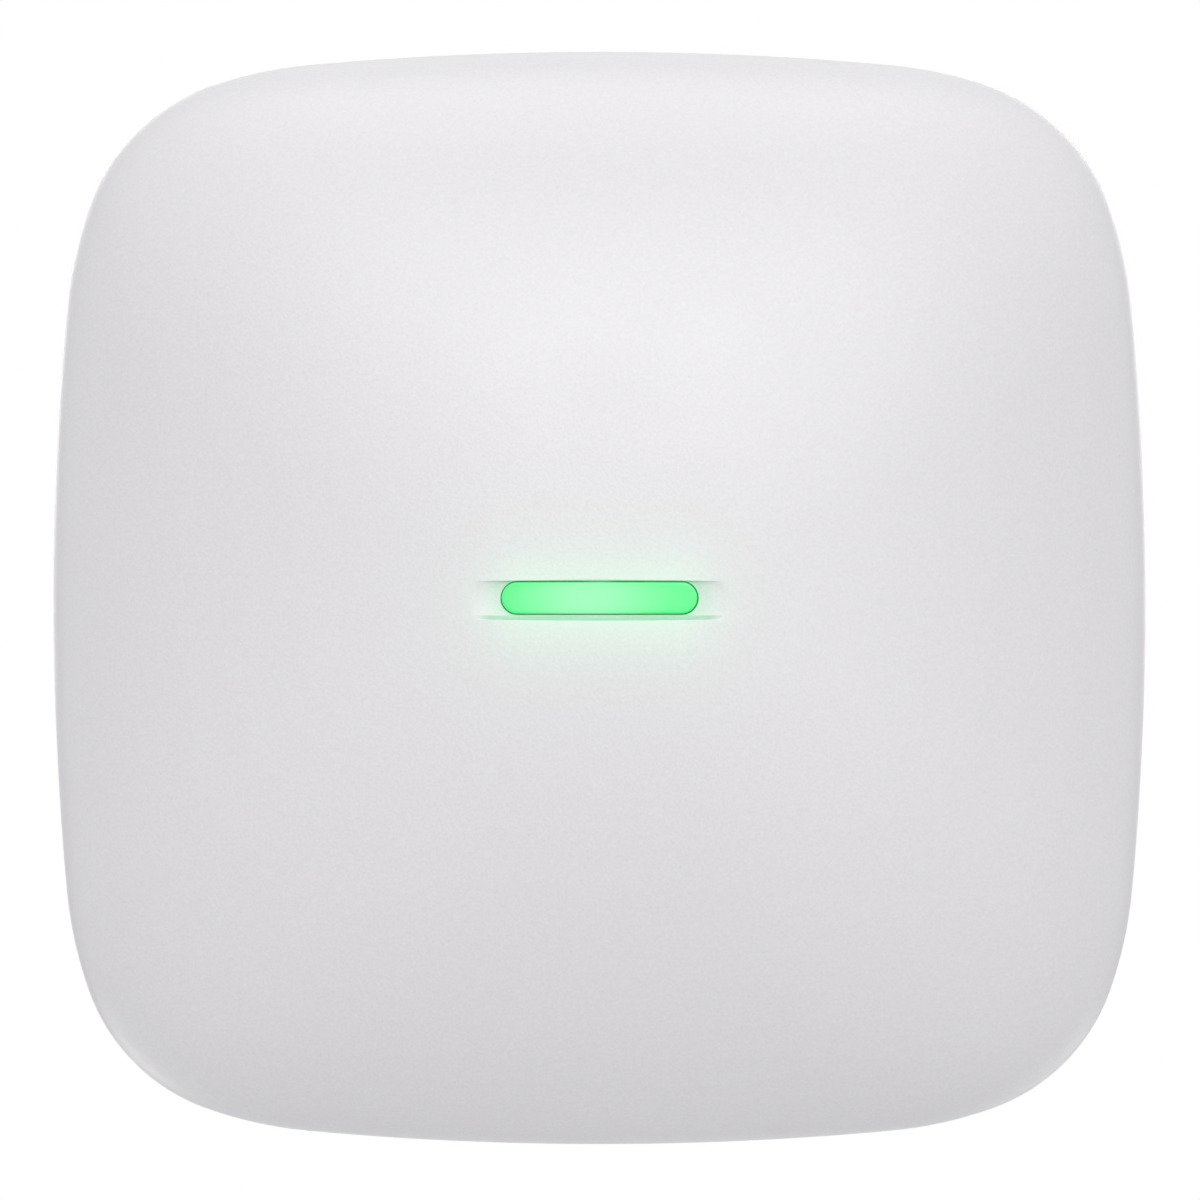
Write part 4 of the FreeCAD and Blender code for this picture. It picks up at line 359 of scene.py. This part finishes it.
def cover_rings():
    """Rings from the rim over the face into the slot and back along the inside. Also the numbers of the
    ring at the recess's mouth and of the slot's outer ring."""
    rings = []
    rim = section(1.0, HALF_SIDE)
    for step in range(RIM_STEPS + 1):
        turn = step / RIM_STEPS * math.pi / 2
        inset = RIM_ROUND * (1 - math.sin(turn))
        rings.append(at_height(rim - NORMALS * inset, COVER_BASE + RIM_ROUND * (1 - math.cos(turn))))
    first = math.asin(RIM_ROUND * DOME_FIRST_RISE / (CASE_DEPTH - COVER_BASE))
    last = math.acos(DOME_LAST_SHARE ** (DOME_POWER / 2))
    for step in range(DOME_STEPS + 1):
        turn = first + (last - first) * step / DOME_STEPS
        share = math.cos(turn) ** (2 / DOME_POWER)
        height = COVER_BASE + (CASE_DEPTH - COVER_BASE) * math.sin(turn)
        rings.append(at_height(section(share, HALF_SIDE), height))
    start = section(math.cos(last) ** (2 / DOME_POWER), HALF_SIDE)
    mouth = mouth_loop()
    outward = mouth - numpy.array([0, -DISH_DROP])
    outward /= numpy.linalg.norm(outward, axis=1)[:, None]
    rounding = numpy.stack([outward[:, 0] * MOUTH_ROUND_X, outward[:, 1] * MOUTH_ROUND_Y], 1)
    for step in range(1, FACE_STEPS):
        share = step / FACE_STEPS
        share = share * share * (3 - 2 * share) * FACE_EASE + share * (1 - FACE_EASE)
        rings.append(on_face(start + (mouth + rounding - start) * share))
    lip = len(rings) + MOUTH_PARTS.index(0.0)
    for part in MOUTH_PARTS:
        rings.append(on_face(mouth + rounding * part))
    inner_start = mouth + rounding * MOUTH_PARTS[-1]
    slot = bar_loop(WINDOW_LENGTH + 2 * WINDOW_CLEARANCE, WINDOW_HEIGHT + 2 * WINDOW_CLEARANCE)
    for part in RECESS_PARTS:
        rings.append(on_face(inner_start + (slot - inner_start) * part))
    slot_ring = len(rings) - 1
    rings.append([(x, y, face_height(x, y) - SLOT_EDGE_DEPTH) for x, y in slot])
    rings.append(at_height(slot, SEAT_Z))
    border = bar_loop(WINDOW_LENGTH + 2 * SEAT_BORDER, WINDOW_HEIGHT + 2 * SEAT_BORDER)
    rings.append(at_height(border, SEAT_Z))
    rings.append(at_height(border * SEAT_FLARE, INNER_TOP - SEAT_STEP))
    first = math.acos(INNER_FIRST_SHARE ** (DOME_POWER / 2))
    for step in range(1, INNER_STEPS):
        turn = first * (1 - step / INNER_STEPS) + INNER_LAST_TURN * step / INNER_STEPS
        share = math.cos(turn) ** (2 / DOME_POWER)
        height = COVER_BASE + (INNER_TOP - COVER_BASE) * math.sin(turn)
        rings.append(at_height(section(share, INNER_HALF), height))
    rings.append(at_height(rim - NORMALS * (COVER_WALL + LIP_STEP), LIP_TOP))
    rings.append(at_height(rim - NORMALS * LIP_INSET, LIP_TOP))
    rings.append(at_height(rim - NORMALS * LIP_INSET, COVER_BASE))
    return rings, lip, slot_ring


def window_rings():
    """The window from its middle over its crowned face and rounded edge down to its seat."""
    top = CASE_DEPTH - DISH_DEPTH + WINDOW_PROUD
    face_length = WINDOW_LENGTH - 2 * WINDOW_EDGE_ROUND
    face_width = WINDOW_HEIGHT - 2 * WINDOW_EDGE_ROUND

    def crowned(loop, fall=0.0):
        return [(x, y, top - fall - (x * x + y * y) / (2 * WINDOW_CROWN_RADIUS)) for x, y in loop]

    rings = []
    for step in range(CROWN_STEPS + 1):
        share = step / CROWN_STEPS
        rings.append(crowned(bar_loop(face_length - face_width * (1 - share), face_width * share)))
    for step in range(1, EDGE_STEPS + 1):
        turn = step / EDGE_STEPS * math.pi / 2
        grow = 2 * WINDOW_EDGE_ROUND * math.sin(turn)
        loop = bar_loop(face_length + grow, face_width + grow)
        rings.append(crowned(loop, WINDOW_EDGE_ROUND * (1 - math.cos(turn))))
    rings.append(at_height(bar_loop(WINDOW_LENGTH, WINDOW_HEIGHT), SEAT_Z))
    return rings


# Materials

BLACK = (0.0, 0.0, 0.0)
UNCHANGED = (1.0, 1.0, 1.0)
WHITE = (0.86, 0.843, 0.868)

# Uneven sheen of moulded plastic: the size of its flow marks, and how much they and the grain change
# the roughness.
FLOW_SIZE = 18.0
FLOW_SHEEN = 0.08
GRAIN_SHEEN = 0.06

# Painted glow of the window's light on the cover, given as emission: half its length and how far below
# the window's middle it lies, the reach of its wide and its near part, the near part's strength beside
# the wide one's, and the whole's.
GLOW_HALF_LENGTH = 10.0
GLOW_DROP = 0.6
GLOW_WIDE = 6.6
GLOW_NEAR = 4.0
GLOW_NEAR_LEVEL = 0.52
GLOW_LEVEL = 0.125
GLOW_COLOUR = (0.02, 1.0, 0.24)

# Painted green light and shade of the recess beside the window, painted shade of its lower slope, and
# from where to where each fades.
RECESS_PAINTED_LIGHT_AND_SHADE = (0.6, 0.88, 0.68)
SLOPE_PAINTED_SHADE = (0.52, 0.71, 0.58)
SLOPE_FADE = (-2.6, -2.45)
RUN_OUT_FADE = (13.0, 17.5)
RUN_OUT_POWER = 1.6
TIP_FADE = (16.0, 18.6)

# Painted light on the slot's walls, given as emission: from which height to which it grows, and how its
# start rises to the right.
SLOT_FADE = (-0.6, 1.8)
SLOT_SLANT = 0.08
SLOT_PAINTED_LIGHT = (0.23, 0.98, 0.4)

# Light in the window: how far left of the middle it is brightest and how far it reaches, how its lower
# and upper edges deepen, its unevenness, and its colours.
LAMP_LEFT = 2.0
LAMP_REACH = 16.0
EDGE_POWER = 4.0
LOWER_EDGE = 0.25
UPPER_EDGE = 0.55
UNEVENNESS = 0.1
LIT_MIDDLE = (0.245, 0.84, 0.39)
LIT_END = (0.01, 0.78, 0.15)

# Half the width of the transformer's tape, as a share of the transformer's length.
TAPE_SHARE = 0.28


def feed(tree, value, socket):
    """Sets a socket to a number or colour, or links another socket to it."""
    if isinstance(value, bpy.types.NodeSocket):
        tree.links.new(value, socket)
    elif isinstance(value, tuple) and len(value) == 3 and socket.type == "RGBA":
        socket.default_value = (*value, 1.0)
    else:
        socket.default_value = value


def add_node(tree, kind, *values, **settings):
    """A new node with these settings, whose first sockets take these values."""
    made = tree.nodes.new(kind)
    for key, setting in settings.items():
        setattr(made, key, setting)
    for value, socket in zip(values, made.inputs):
        feed(tree, value, socket)
    return made


class Finish:
    """One material and the nodes of its tree."""

    def __init__(self, name, roughness=0.5, metallic=0.0):
        self.material = bpy.data.materials.new(name)
        self.material.use_nodes = True
        self.tree = self.material.node_tree
        self.shader = self.tree.nodes["Principled BSDF"]
        self.give("Roughness", roughness)
        self.give("Metallic", metallic)
        self.coordinates = self.node("ShaderNodeTexCoord").outputs["Object"]

    def give(self, quality, value):
        """Sets or links one of the shader's own sockets."""
        feed(self.tree, value, self.shader.inputs[quality])

    def colour(self, value):
        self.give("Base Color", value)

    def glow(self, value, strength=1.0):
        self.give("Emission Color", value)
        self.give("Emission Strength", strength)

    def node(self, kind, *values, **settings):
        return add_node(self.tree, kind, *values, **settings)

    def math(self, operation, first, second=0.0):
        return self.node("ShaderNodeMath", first, second, operation=operation).outputs[0]

    def noise(self, size, detail=2.0, stretch=(1, 1, 1)):
        """Noise from 0 to 1 with features of about this size in millimetres."""
        scaled = self.node("ShaderNodeMapping", self.coordinates)
        scaled.inputs["Scale"].default_value = [1 / (size * MM) * s for s in stretch]
        made = self.node("ShaderNodeTexNoise", scaled.outputs["Vector"])
        made.inputs["Scale"].default_value = 1.0
        made.inputs["Detail"].default_value = detail
        return made.outputs["Fac"]

    def cells(self, size):
        """Distance to the nearest of scattered points, about this many millimetres apart."""
        made = self.node("ShaderNodeTexVoronoi", self.coordinates, feature="F1")
        made.inputs["Scale"].default_value = 1 / (size * MM)
        return made.outputs["Distance"]

    def axis(self, name):
        return self.node("ShaderNodeSeparateXYZ", self.coordinates).outputs[name]

    def ramp(self, value, low, high, out_low=0.0, out_high=1.0, smooth=False):
        """Maps a value from one range to another and holds it there."""
        made = self.node("ShaderNodeMapRange", value, low, high, out_low, out_high, clamp=True,
                         interpolation_type="SMOOTHSTEP" if smooth else "LINEAR")
        return made.outputs["Result"]

    def mix(self, share, first, second, kind="MIX"):
        made = self.node("ShaderNodeMix", share, data_type="RGBA", blend_type=kind)
        feed(self.tree, first, made.inputs[6])
        feed(self.tree, second, made.inputs[7])
        return made.outputs[2]

    def bump(self, height, depth):
        """Gives the surface relief of this depth in millimetres."""
        made = self.node("ShaderNodeBump")
        made.inputs["Strength"].default_value = 1.0
        made.inputs["Distance"].default_value = depth * MM
        feed(self.tree, height, made.inputs["Height"])
        self.give("Normal", made.outputs["Normal"])

    def dress(self, *names):
        """Gives this material to CAD nodes."""
        for name in names:
            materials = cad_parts[name].data.materials
            materials.clear()
            materials.append(self.material)


def shaded(colour, amount):
    return tuple(channel * amount for channel in colour)


def moulded(name, colour, roughness=0.45, grain=0.4, depth=0.012, tone=0.03, speckle=0.02):
    """Moulded plastic: fine eroded grain, faint flow marks and a slightly uneven sheen."""
    finish = Finish(name, roughness)
    flow = finish.noise(FLOW_SIZE, 3.0)
    grit = finish.noise(grain, 2.0)
    base = finish.mix(flow, shaded(colour, 1 - tone), shaded(colour, 1 + tone))
    pits = finish.ramp(grit, 0.2, 0.8, 1 - speckle, 1 + speckle)
    finish.colour(finish.mix(1.0, base, pits, "MULTIPLY"))
    sheen = finish.math("ADD", finish.math("MULTIPLY", flow, FLOW_SHEEN), roughness - FLOW_SHEEN / 2)
    finish.give("Roughness", finish.math("ADD", sheen, finish.math("MULTIPLY", grit, GRAIN_SHEEN)))
    finish.bump(grit, depth)
    return finish


def plated(name, colour, roughness=0.3, stretch=(1, 1, 14)):
    """Plated or tinned metal: drawn lines, small scuffs and a faint change of tone."""
    finish = Finish(name, roughness, 1.0)
    lines = finish.noise(1.2, 4.0, stretch)
    blotch = finish.noise(4.0, 3.0)
    base = finish.mix(blotch, shaded(colour, 0.88), shaded(colour, 1.05))
    finish.colour(finish.mix(finish.math("MULTIPLY", lines, 0.35), base, shaded(colour, 0.7)))
    finish.give("Roughness", finish.ramp(lines, 0.2, 0.8, roughness - 0.08, roughness + 0.12))
    finish.bump(lines, 0.01)
    return finish


def case_plastic(name):
    """White plastic of the cover and the housing."""
    return moulded(name, WHITE, roughness=0.4, grain=0.4, depth=0.02, tone=0.004, speckle=0.042)


def painted_glow(finish):
    """How strongly the window's glow is painted on the cover."""
    beyond = finish.math("SUBTRACT", finish.math("ABSOLUTE", finish.axis("X")), GLOW_HALF_LENGTH * MM)
    across = finish.math("MAXIMUM", beyond, 0.0)
    upright = finish.math("ADD", finish.axis("Z"), GLOW_DROP * MM)
    square = finish.math("ADD", finish.math("MULTIPLY", across, across),
                         finish.math("MULTIPLY", upright, upright))
    wide, near = [finish.math("EXPONENT", finish.math("DIVIDE", square, -2 * (reach * MM) ** 2))
                  for reach in (GLOW_WIDE, GLOW_NEAR)]
    return finish.math("ADD", wide, finish.math("MULTIPLY", near, GLOW_NEAR_LEVEL))


def painted_recess_light_and_shade(finish):
    """Painted light and shade in the recess round the window: its green light, painted darker, whole
    beside the window and fading along the two run-outs, and deeper painted shade on the lower slope, out
    to the run-outs' tips."""
    held = finish.node("ShaderNodeAttribute", attribute_name="recess").outputs["Fac"]
    along = finish.math("ABSOLUTE", finish.axis("X"))

    def fading(value, limits):
        return finish.ramp(value, limits[0] * MM, limits[1] * MM, 1.0, 0.0)

    fade = finish.math("POWER", fading(along, RUN_OUT_FADE), RUN_OUT_POWER)
    below = fading(finish.axis("Z"), SLOPE_FADE)
    tips = finish.math("MULTIPLY", below, fading(along, TIP_FADE))
    share = finish.math("MULTIPLY", held, finish.math("MAXIMUM", fade, tips))
    # Painted light and shade: the recess's green, and the darker green of its lower slope.
    return finish.mix(share, UNCHANGED, finish.mix(below, RECESS_PAINTED_LIGHT_AND_SHADE, SLOPE_PAINTED_SHADE))


def cover_finish():
    """The case's white plastic, with painted light and shade in the recess and the window's glow painted
    on it.
    """
    finish = case_plastic("cover_plastic")
    plain = finish.shader.inputs["Base Color"].links[0].from_socket
    # Painted light and shade of the recess multiply the plain colour.
    finish.colour(finish.mix(1.0, plain, painted_recess_light_and_shade(finish), "MULTIPLY"))
    # Painted light: the window's glow on the cover, given as emission though the cover is no lamp.
    finish.glow(finish.mix(finish.math("MULTIPLY", painted_glow(finish), GLOW_LEVEL), BLACK, GLOW_COLOUR))
    return finish


def slot_finish():
    """Walls of the window's slot, with the window's light painted on them: a painted glow above it and
    deep green painted shade below.
    """
    finish = Finish("slot_wall", 0.6)
    # Painted shade: the walls' deep green stands for shade lit only by the window.
    finish.colour(finish.mix(finish.noise(0.8), (0.1, 0.4, 0.17), (0.14, 0.48, 0.22)))
    # Painted light: emission above the window stands for its light on the walls.
    slant = finish.math("MULTIPLY", finish.axis("X"), SLOT_SLANT)
    above = finish.math("SUBTRACT", finish.axis("Z"), slant)
    finish.glow(finish.mix(finish.ramp(above, SLOT_FADE[0] * MM, SLOT_FADE[1] * MM), BLACK, SLOT_PAINTED_LIGHT))
    return finish


def window_finish():
    """Diffusing plastic, lit from behind: brightest near the middle, deeper at its ends and edges."""
    finish = Finish("window_plastic", 0.3)
    finish.colour((0.03, 0.1, 0.05))
    away = finish.math("ABSOLUTE", finish.math("ADD", finish.axis("X"), LAMP_LEFT * MM))
    along = finish.ramp(away, 0.0, LAMP_REACH * MM, smooth=True)
    height = finish.math("DIVIDE", finish.axis("Z"), WINDOW_HEIGHT / 2 * MM)
    edge = finish.math("POWER", finish.math("ABSOLUTE", height), EDGE_POWER)
    across = finish.math("MULTIPLY", edge, finish.ramp(height, -1.0, 1.0, LOWER_EDGE, UPPER_EDGE))
    centred = finish.math("SUBTRACT", finish.noise(2.5, 3.0), 0.5)
    uneven = finish.math("MULTIPLY", centred, UNEVENNESS)
    share = finish.math("ADD", finish.math("ADD", along, across), uneven)
    finish.glow(finish.mix(share, LIT_MIDDLE, LIT_END))
    finish.bump(finish.noise(0.5), 0.002)
    return finish


def board_finish():
    """Green solder mask over copper tracks."""
    finish = Finish("board_laminate", 0.32)
    across, up = [finish.math("MULTIPLY", finish.axis(name), 1 / MM) for name in ("X", "Z")]
    turned = finish.node("ShaderNodeCombineXYZ", across, up)
    made = finish.node("ShaderNodeTexBrick", turned.outputs[0])
    made.inputs["Scale"].default_value = 1.0
    made.inputs["Brick Width"].default_value = 5.2
    made.inputs["Row Height"].default_value = 0.9
    made.inputs["Mortar Size"].default_value = 0.22
    tracks = made.outputs["Fac"]
    mask = finish.mix(finish.noise(9.0), (0.012, 0.16, 0.07), (0.02, 0.21, 0.095))
    finish.colour(finish.mix(tracks, mask, (0.035, 0.3, 0.13)))
    finish.bump(tracks, 0.03)
    return finish


def foam_finish():
    """Dark open-celled foam."""
    finish = Finish("foam", 0.95)
    pores = finish.cells(0.9)
    finish.colour(finish.mix(pores, (0.02, 0.02, 0.02), (0.09, 0.09, 0.09)))
    finish.bump(pores, 0.2)
    return finish


def label_finish():
    """Bare satin foil label."""
    finish = Finish("label_paper", 0.42, 0.35)
    lines = finish.noise(0.5, 3.0, (0.05, 1, 1))
    finish.colour(finish.mix(lines, (0.58, 0.58, 0.6), (0.68, 0.68, 0.7)))
    finish.bump(lines, 0.004)
    return finish


def wound_finish():
    """Dark ferrite with a band of yellow tape over the winding."""
    finish = Finish("ferrite", 0.55)
    low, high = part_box("transformer")
    middle = (low[0] + high[0]) / 2
    away = finish.math("ABSOLUTE", finish.math("SUBTRACT", finish.axis("X"), middle))
    tape = finish.math("LESS_THAN", away, (high[0] - low[0]) * TAPE_SHARE)
    grit = finish.noise(0.6)
    dark = finish.mix(grit, (0.02, 0.02, 0.022), (0.045, 0.045, 0.05))
    yellow = finish.mix(finish.noise(6.0), (0.62, 0.4, 0.03), (0.72, 0.5, 0.06))
    finish.colour(finish.mix(tape, dark, yellow))
    finish.bump(grit, 0.03)
    return finish


def sleeve(name, colour):
    """Shrink sleeve: slight ripples and dust."""
    finish = Finish(name, 0.25)
    ripple = finish.noise(3.0, 2.0, (1, 1, 0.3))
    finish.colour(finish.mix(ripple, shaded(colour, 0.8), shaded(colour, 1.15)))
    finish.give("Roughness", finish.ramp(ripple, 0.3, 0.7, 0.2, 0.4))
    finish.bump(ripple, 0.06)
    return finish


def guide_finish():
    """Clear acrylic with a green cast."""
    finish = Finish("guide_acrylic", 0.12)
    finish.give("Transmission Weight", 0.6)
    finish.give("IOR", 1.49)
    finish.colour(finish.mix(finish.noise(5.0), (0.62, 0.86, 0.7), (0.72, 0.93, 0.8)))
    finish.bump(finish.noise(2.0), 0.005)
    return finish


def lamp_finish():
    """Milky resin of the lit status lamps."""
    finish = Finish("lamp_resin", 0.25)
    finish.colour(finish.mix(finish.noise(1.0), (0.5, 0.8, 0.5), (0.75, 0.95, 0.7)))
    finish.glow((0.3, 1.0, 0.45), 0.6)
    return finish


# Pieces and their finishes

rings, lip_ring, slot_ring = cover_rings()
seat_ring = slot_ring + 2
cover = mesh_object("cover_shell", rings, True, slot_ring + 1, seat_ring)
mark(cover, "recess", [float(lip_ring <= number <= seat_ring)
                       for number in range(len(rings)) for _ in range(AROUND)])
cover.data.materials.append(cover_finish().material)
cover.data.materials.append(slot_finish().material)
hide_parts("front_cover")
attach(cover, "case")

window = mesh_object("window_lens", window_rings(), False)
window.data.materials.append(window_finish().material)
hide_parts("indicator_window")
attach(window, "case")

case_plastic("housing_plastic").dress("rear_housing")
moulded("bracket_plastic", shaded(WHITE, 0.97), roughness=0.5, grain=0.6, depth=0.016, tone=0.01).dress(
    "wall_bracket")
moulded("white_plastic", (0.82, 0.82, 0.82), roughness=0.5).dress(
    "light_shroud", "power_switch_plunger", "battery_strap")
moulded("black_resin", (0.025, 0.025, 0.028), roughness=0.55, grain=0.3).dress(
    "tamper_switch", "power_switch", "board_chips", "board_link_base", "rectifier")
moulded("inlet_plastic", (0.022, 0.022, 0.025), roughness=0.38, grain=0.35).dress("mains_inlet")
moulded("button_plastic", (0.27, 0.275, 0.29), roughness=0.45, grain=0.35).dress(
    "power_button", "tamper_button")
moulded("fuse_case", (0.03, 0.03, 0.034), roughness=0.5, grain=0.3).dress("mains_fuse")
moulded("capacitor_film", (0.62, 0.43, 0.03), roughness=0.3, grain=0.8, depth=0.006).dress(
    "filter_capacitor")
moulded("suppressor_blue", (0.02, 0.09, 0.4), roughness=0.28, grain=0.9, depth=0.01).dress(
    "surge_suppressor")
moulded("barrier_sheet", (0.68, 0.66, 0.58), roughness=0.35, grain=1.2, depth=0.006).dress(
    "insulating_barrier")
moulded("connector_plastic", (0.82, 0.79, 0.7), roughness=0.42).dress("battery_socket", "battery_plug")
moulded("wire_red", (0.42, 0.012, 0.012), roughness=0.42, grain=0.3).dress("battery_lead_red")
moulded("wire_black", (0.02, 0.02, 0.02), roughness=0.42, grain=0.3).dress("battery_lead_black")
plated("screw_steel", (0.6, 0.6, 0.62), roughness=0.32).dress(
    "case_screws", "main_board_screws", "power_board_screws")
plated("spring_steel", (0.5, 0.5, 0.52), roughness=0.25).dress("tamper_spring")
plated("tin_plate", (0.66, 0.67, 0.68), roughness=0.28).dress(
    "radio_shields", "antenna_left", "antenna_right")
plated("nickel_brass", (0.66, 0.63, 0.55), roughness=0.22, stretch=(1, 10, 1)).dress("mains_pins")
plated("gold_brass", (0.75, 0.5, 0.14), roughness=0.25).dress("board_link_pins")
sleeve("capacitor_sleeve", (0.02, 0.03, 0.06)).dress("bulk_capacitor", "output_capacitor")
sleeve("cell_sleeve", (0.02, 0.17, 0.48)).dress("battery_cell")
board_finish().dress("main_board", "power_board", "battery_guard_board")
foam_finish().dress("battery_pad")
label_finish().dress("blank_label")
wound_finish().dress("transformer")
guide_finish().dress("light_guide")
lamp_finish().dress("status_lamps")


# Camera, light and floor

CAMERA_LENS = 200.0
SENSOR_WIDTH = 36.0
CAMERA_RIGHT = 0.075
CAMERA_UP = -0.3
CAMERA_AWAY = 1007.35

camera_data = bpy.data.cameras.new("camera")
camera_data.lens = CAMERA_LENS
camera_data.sensor_width = SENSOR_WIDTH
camera = bpy.data.objects.new("camera", camera_data)
camera.location = place(CAMERA_RIGHT, CAMERA_UP, CAMERA_AWAY)
camera.rotation_euler = (math.radians(90), 0, 0)
bpy.context.collection.objects.link(camera)
bpy.context.scene.camera = camera

# Each light: its name, how far it stands to the right and up in degrees (right 180 is behind the
# object), its strength and its width in degrees.
LIGHTS = [
    ("key_light", 0, 20, 1.03, 20),
    ("front_light", 8, 9, 0.715, 16),
    ("top_light", 0, 70, 0.905, 40),
    ("left_light", -100, 0, 0.388, 40),
    ("right_light", 100, 0, 0.342, 40),
    ("low_left_light", -125, -40, 0.583, 30),
    ("low_right_light", 130, -42, 0.572, 40),
    ("back_left_light", -155, 14, 0.65, 30),
    ("back_right_light", 155, 14, 0.6, 30),
    ("back_top_light", 180, 50, 0.151, 30),
]
for name, right, up, strength, width in LIGHTS:
    lamp = bpy.data.lights.new(name, "SUN")
    lamp.energy = strength
    lamp.angle = math.radians(width)
    lamp_object = bpy.data.objects.new(name, lamp)
    bpy.context.collection.objects.link(lamp_object)
    turn, rise = math.radians(right), math.radians(up)
    towards = Vector((math.cos(rise) * math.sin(turn), -math.cos(rise) * math.cos(turn), math.sin(rise)))
    lamp_object.rotation_euler = towards.to_track_quat("Z", "Y").to_euler()

# The world is white to the camera, in gloss and through clear pieces, and this bright as light.
AMBIENT = 0.16
world = bpy.data.worlds.new("world")
bpy.context.scene.world = world
world.use_nodes = True
tree = world.node_tree
background = tree.nodes["Background"]
feed(tree, (1.0, 1.0, 1.0), background.inputs["Color"])
rays = add_node(tree, "ShaderNodeLightPath").outputs
seen = rays["Is Camera Ray"]
for kind in ("Is Glossy Ray", "Is Transmission Ray"):
    seen = add_node(tree, "ShaderNodeMath", seen, rays[kind], operation="MAXIMUM").outputs[0]
level = add_node(tree, "ShaderNodeMapRange", seen)
level.inputs["To Min"].default_value = AMBIENT
feed(tree, level.outputs["Result"], background.inputs["Strength"])

FLOOR_Z = -260.0
FLOOR_FRONT = 20.0
FLOOR_RADIUS = 420.0
FLOOR_POINTS = 96
FLOOR_COLOUR = (0.9, 0.9, 0.9)
# The floor fades from here to this share of its radius, and to the camera it is this part white.
FADE_START = 80.0
FADE_END_SHARE = 0.95
FLOOR_LIFT = 0.6


def floor_finish():
    """Pale floor that fades out, keeps the object's shadow and is clear from below."""
    material = bpy.data.materials.new("floor")
    material.use_nodes = True
    tree = material.node_tree
    tree.nodes.clear()

    def made(kind, *values, output=0, **settings):
        return add_node(tree, kind, *values, **settings).outputs[output]

    away = made("ShaderNodeVectorMath", made("ShaderNodeTexCoord", output="Object"),
                operation="LENGTH", output="Value")
    fade = made("ShaderNodeMapRange", away, FADE_START * MM, FLOOR_RADIUS * MM * FADE_END_SHARE,
                interpolation_type="SMOOTHSTEP")
    below = made("ShaderNodeNewGeometry", output="Backfacing")
    gone = made("ShaderNodeMath", fade, below, operation="MAXIMUM")
    seen = made("ShaderNodeLightPath", output="Is Camera Ray")
    lift = made("ShaderNodeMath", seen, FLOOR_LIFT, operation="MULTIPLY")
    paint = made("ShaderNodeBsdfDiffuse", FLOOR_COLOUR)
    pale = made("ShaderNodeMixShader", lift, paint, made("ShaderNodeEmission"))
    blend = made("ShaderNodeMixShader", gone, pale, made("ShaderNodeBsdfTransparent"))
    add_node(tree, "ShaderNodeOutputMaterial", blend)
    return material


bpy.ops.mesh.primitive_circle_add(vertices=FLOOR_POINTS, radius=FLOOR_RADIUS * MM, fill_type="NGON",
                                  location=place(0.0, FLOOR_Z, FLOOR_FRONT))
floor = bpy.context.object
floor.name = "floor"
floor.data.materials.append(floor_finish())
floor.visible_shadow = False

bpy.context.scene.view_settings.view_transform = "Standard"
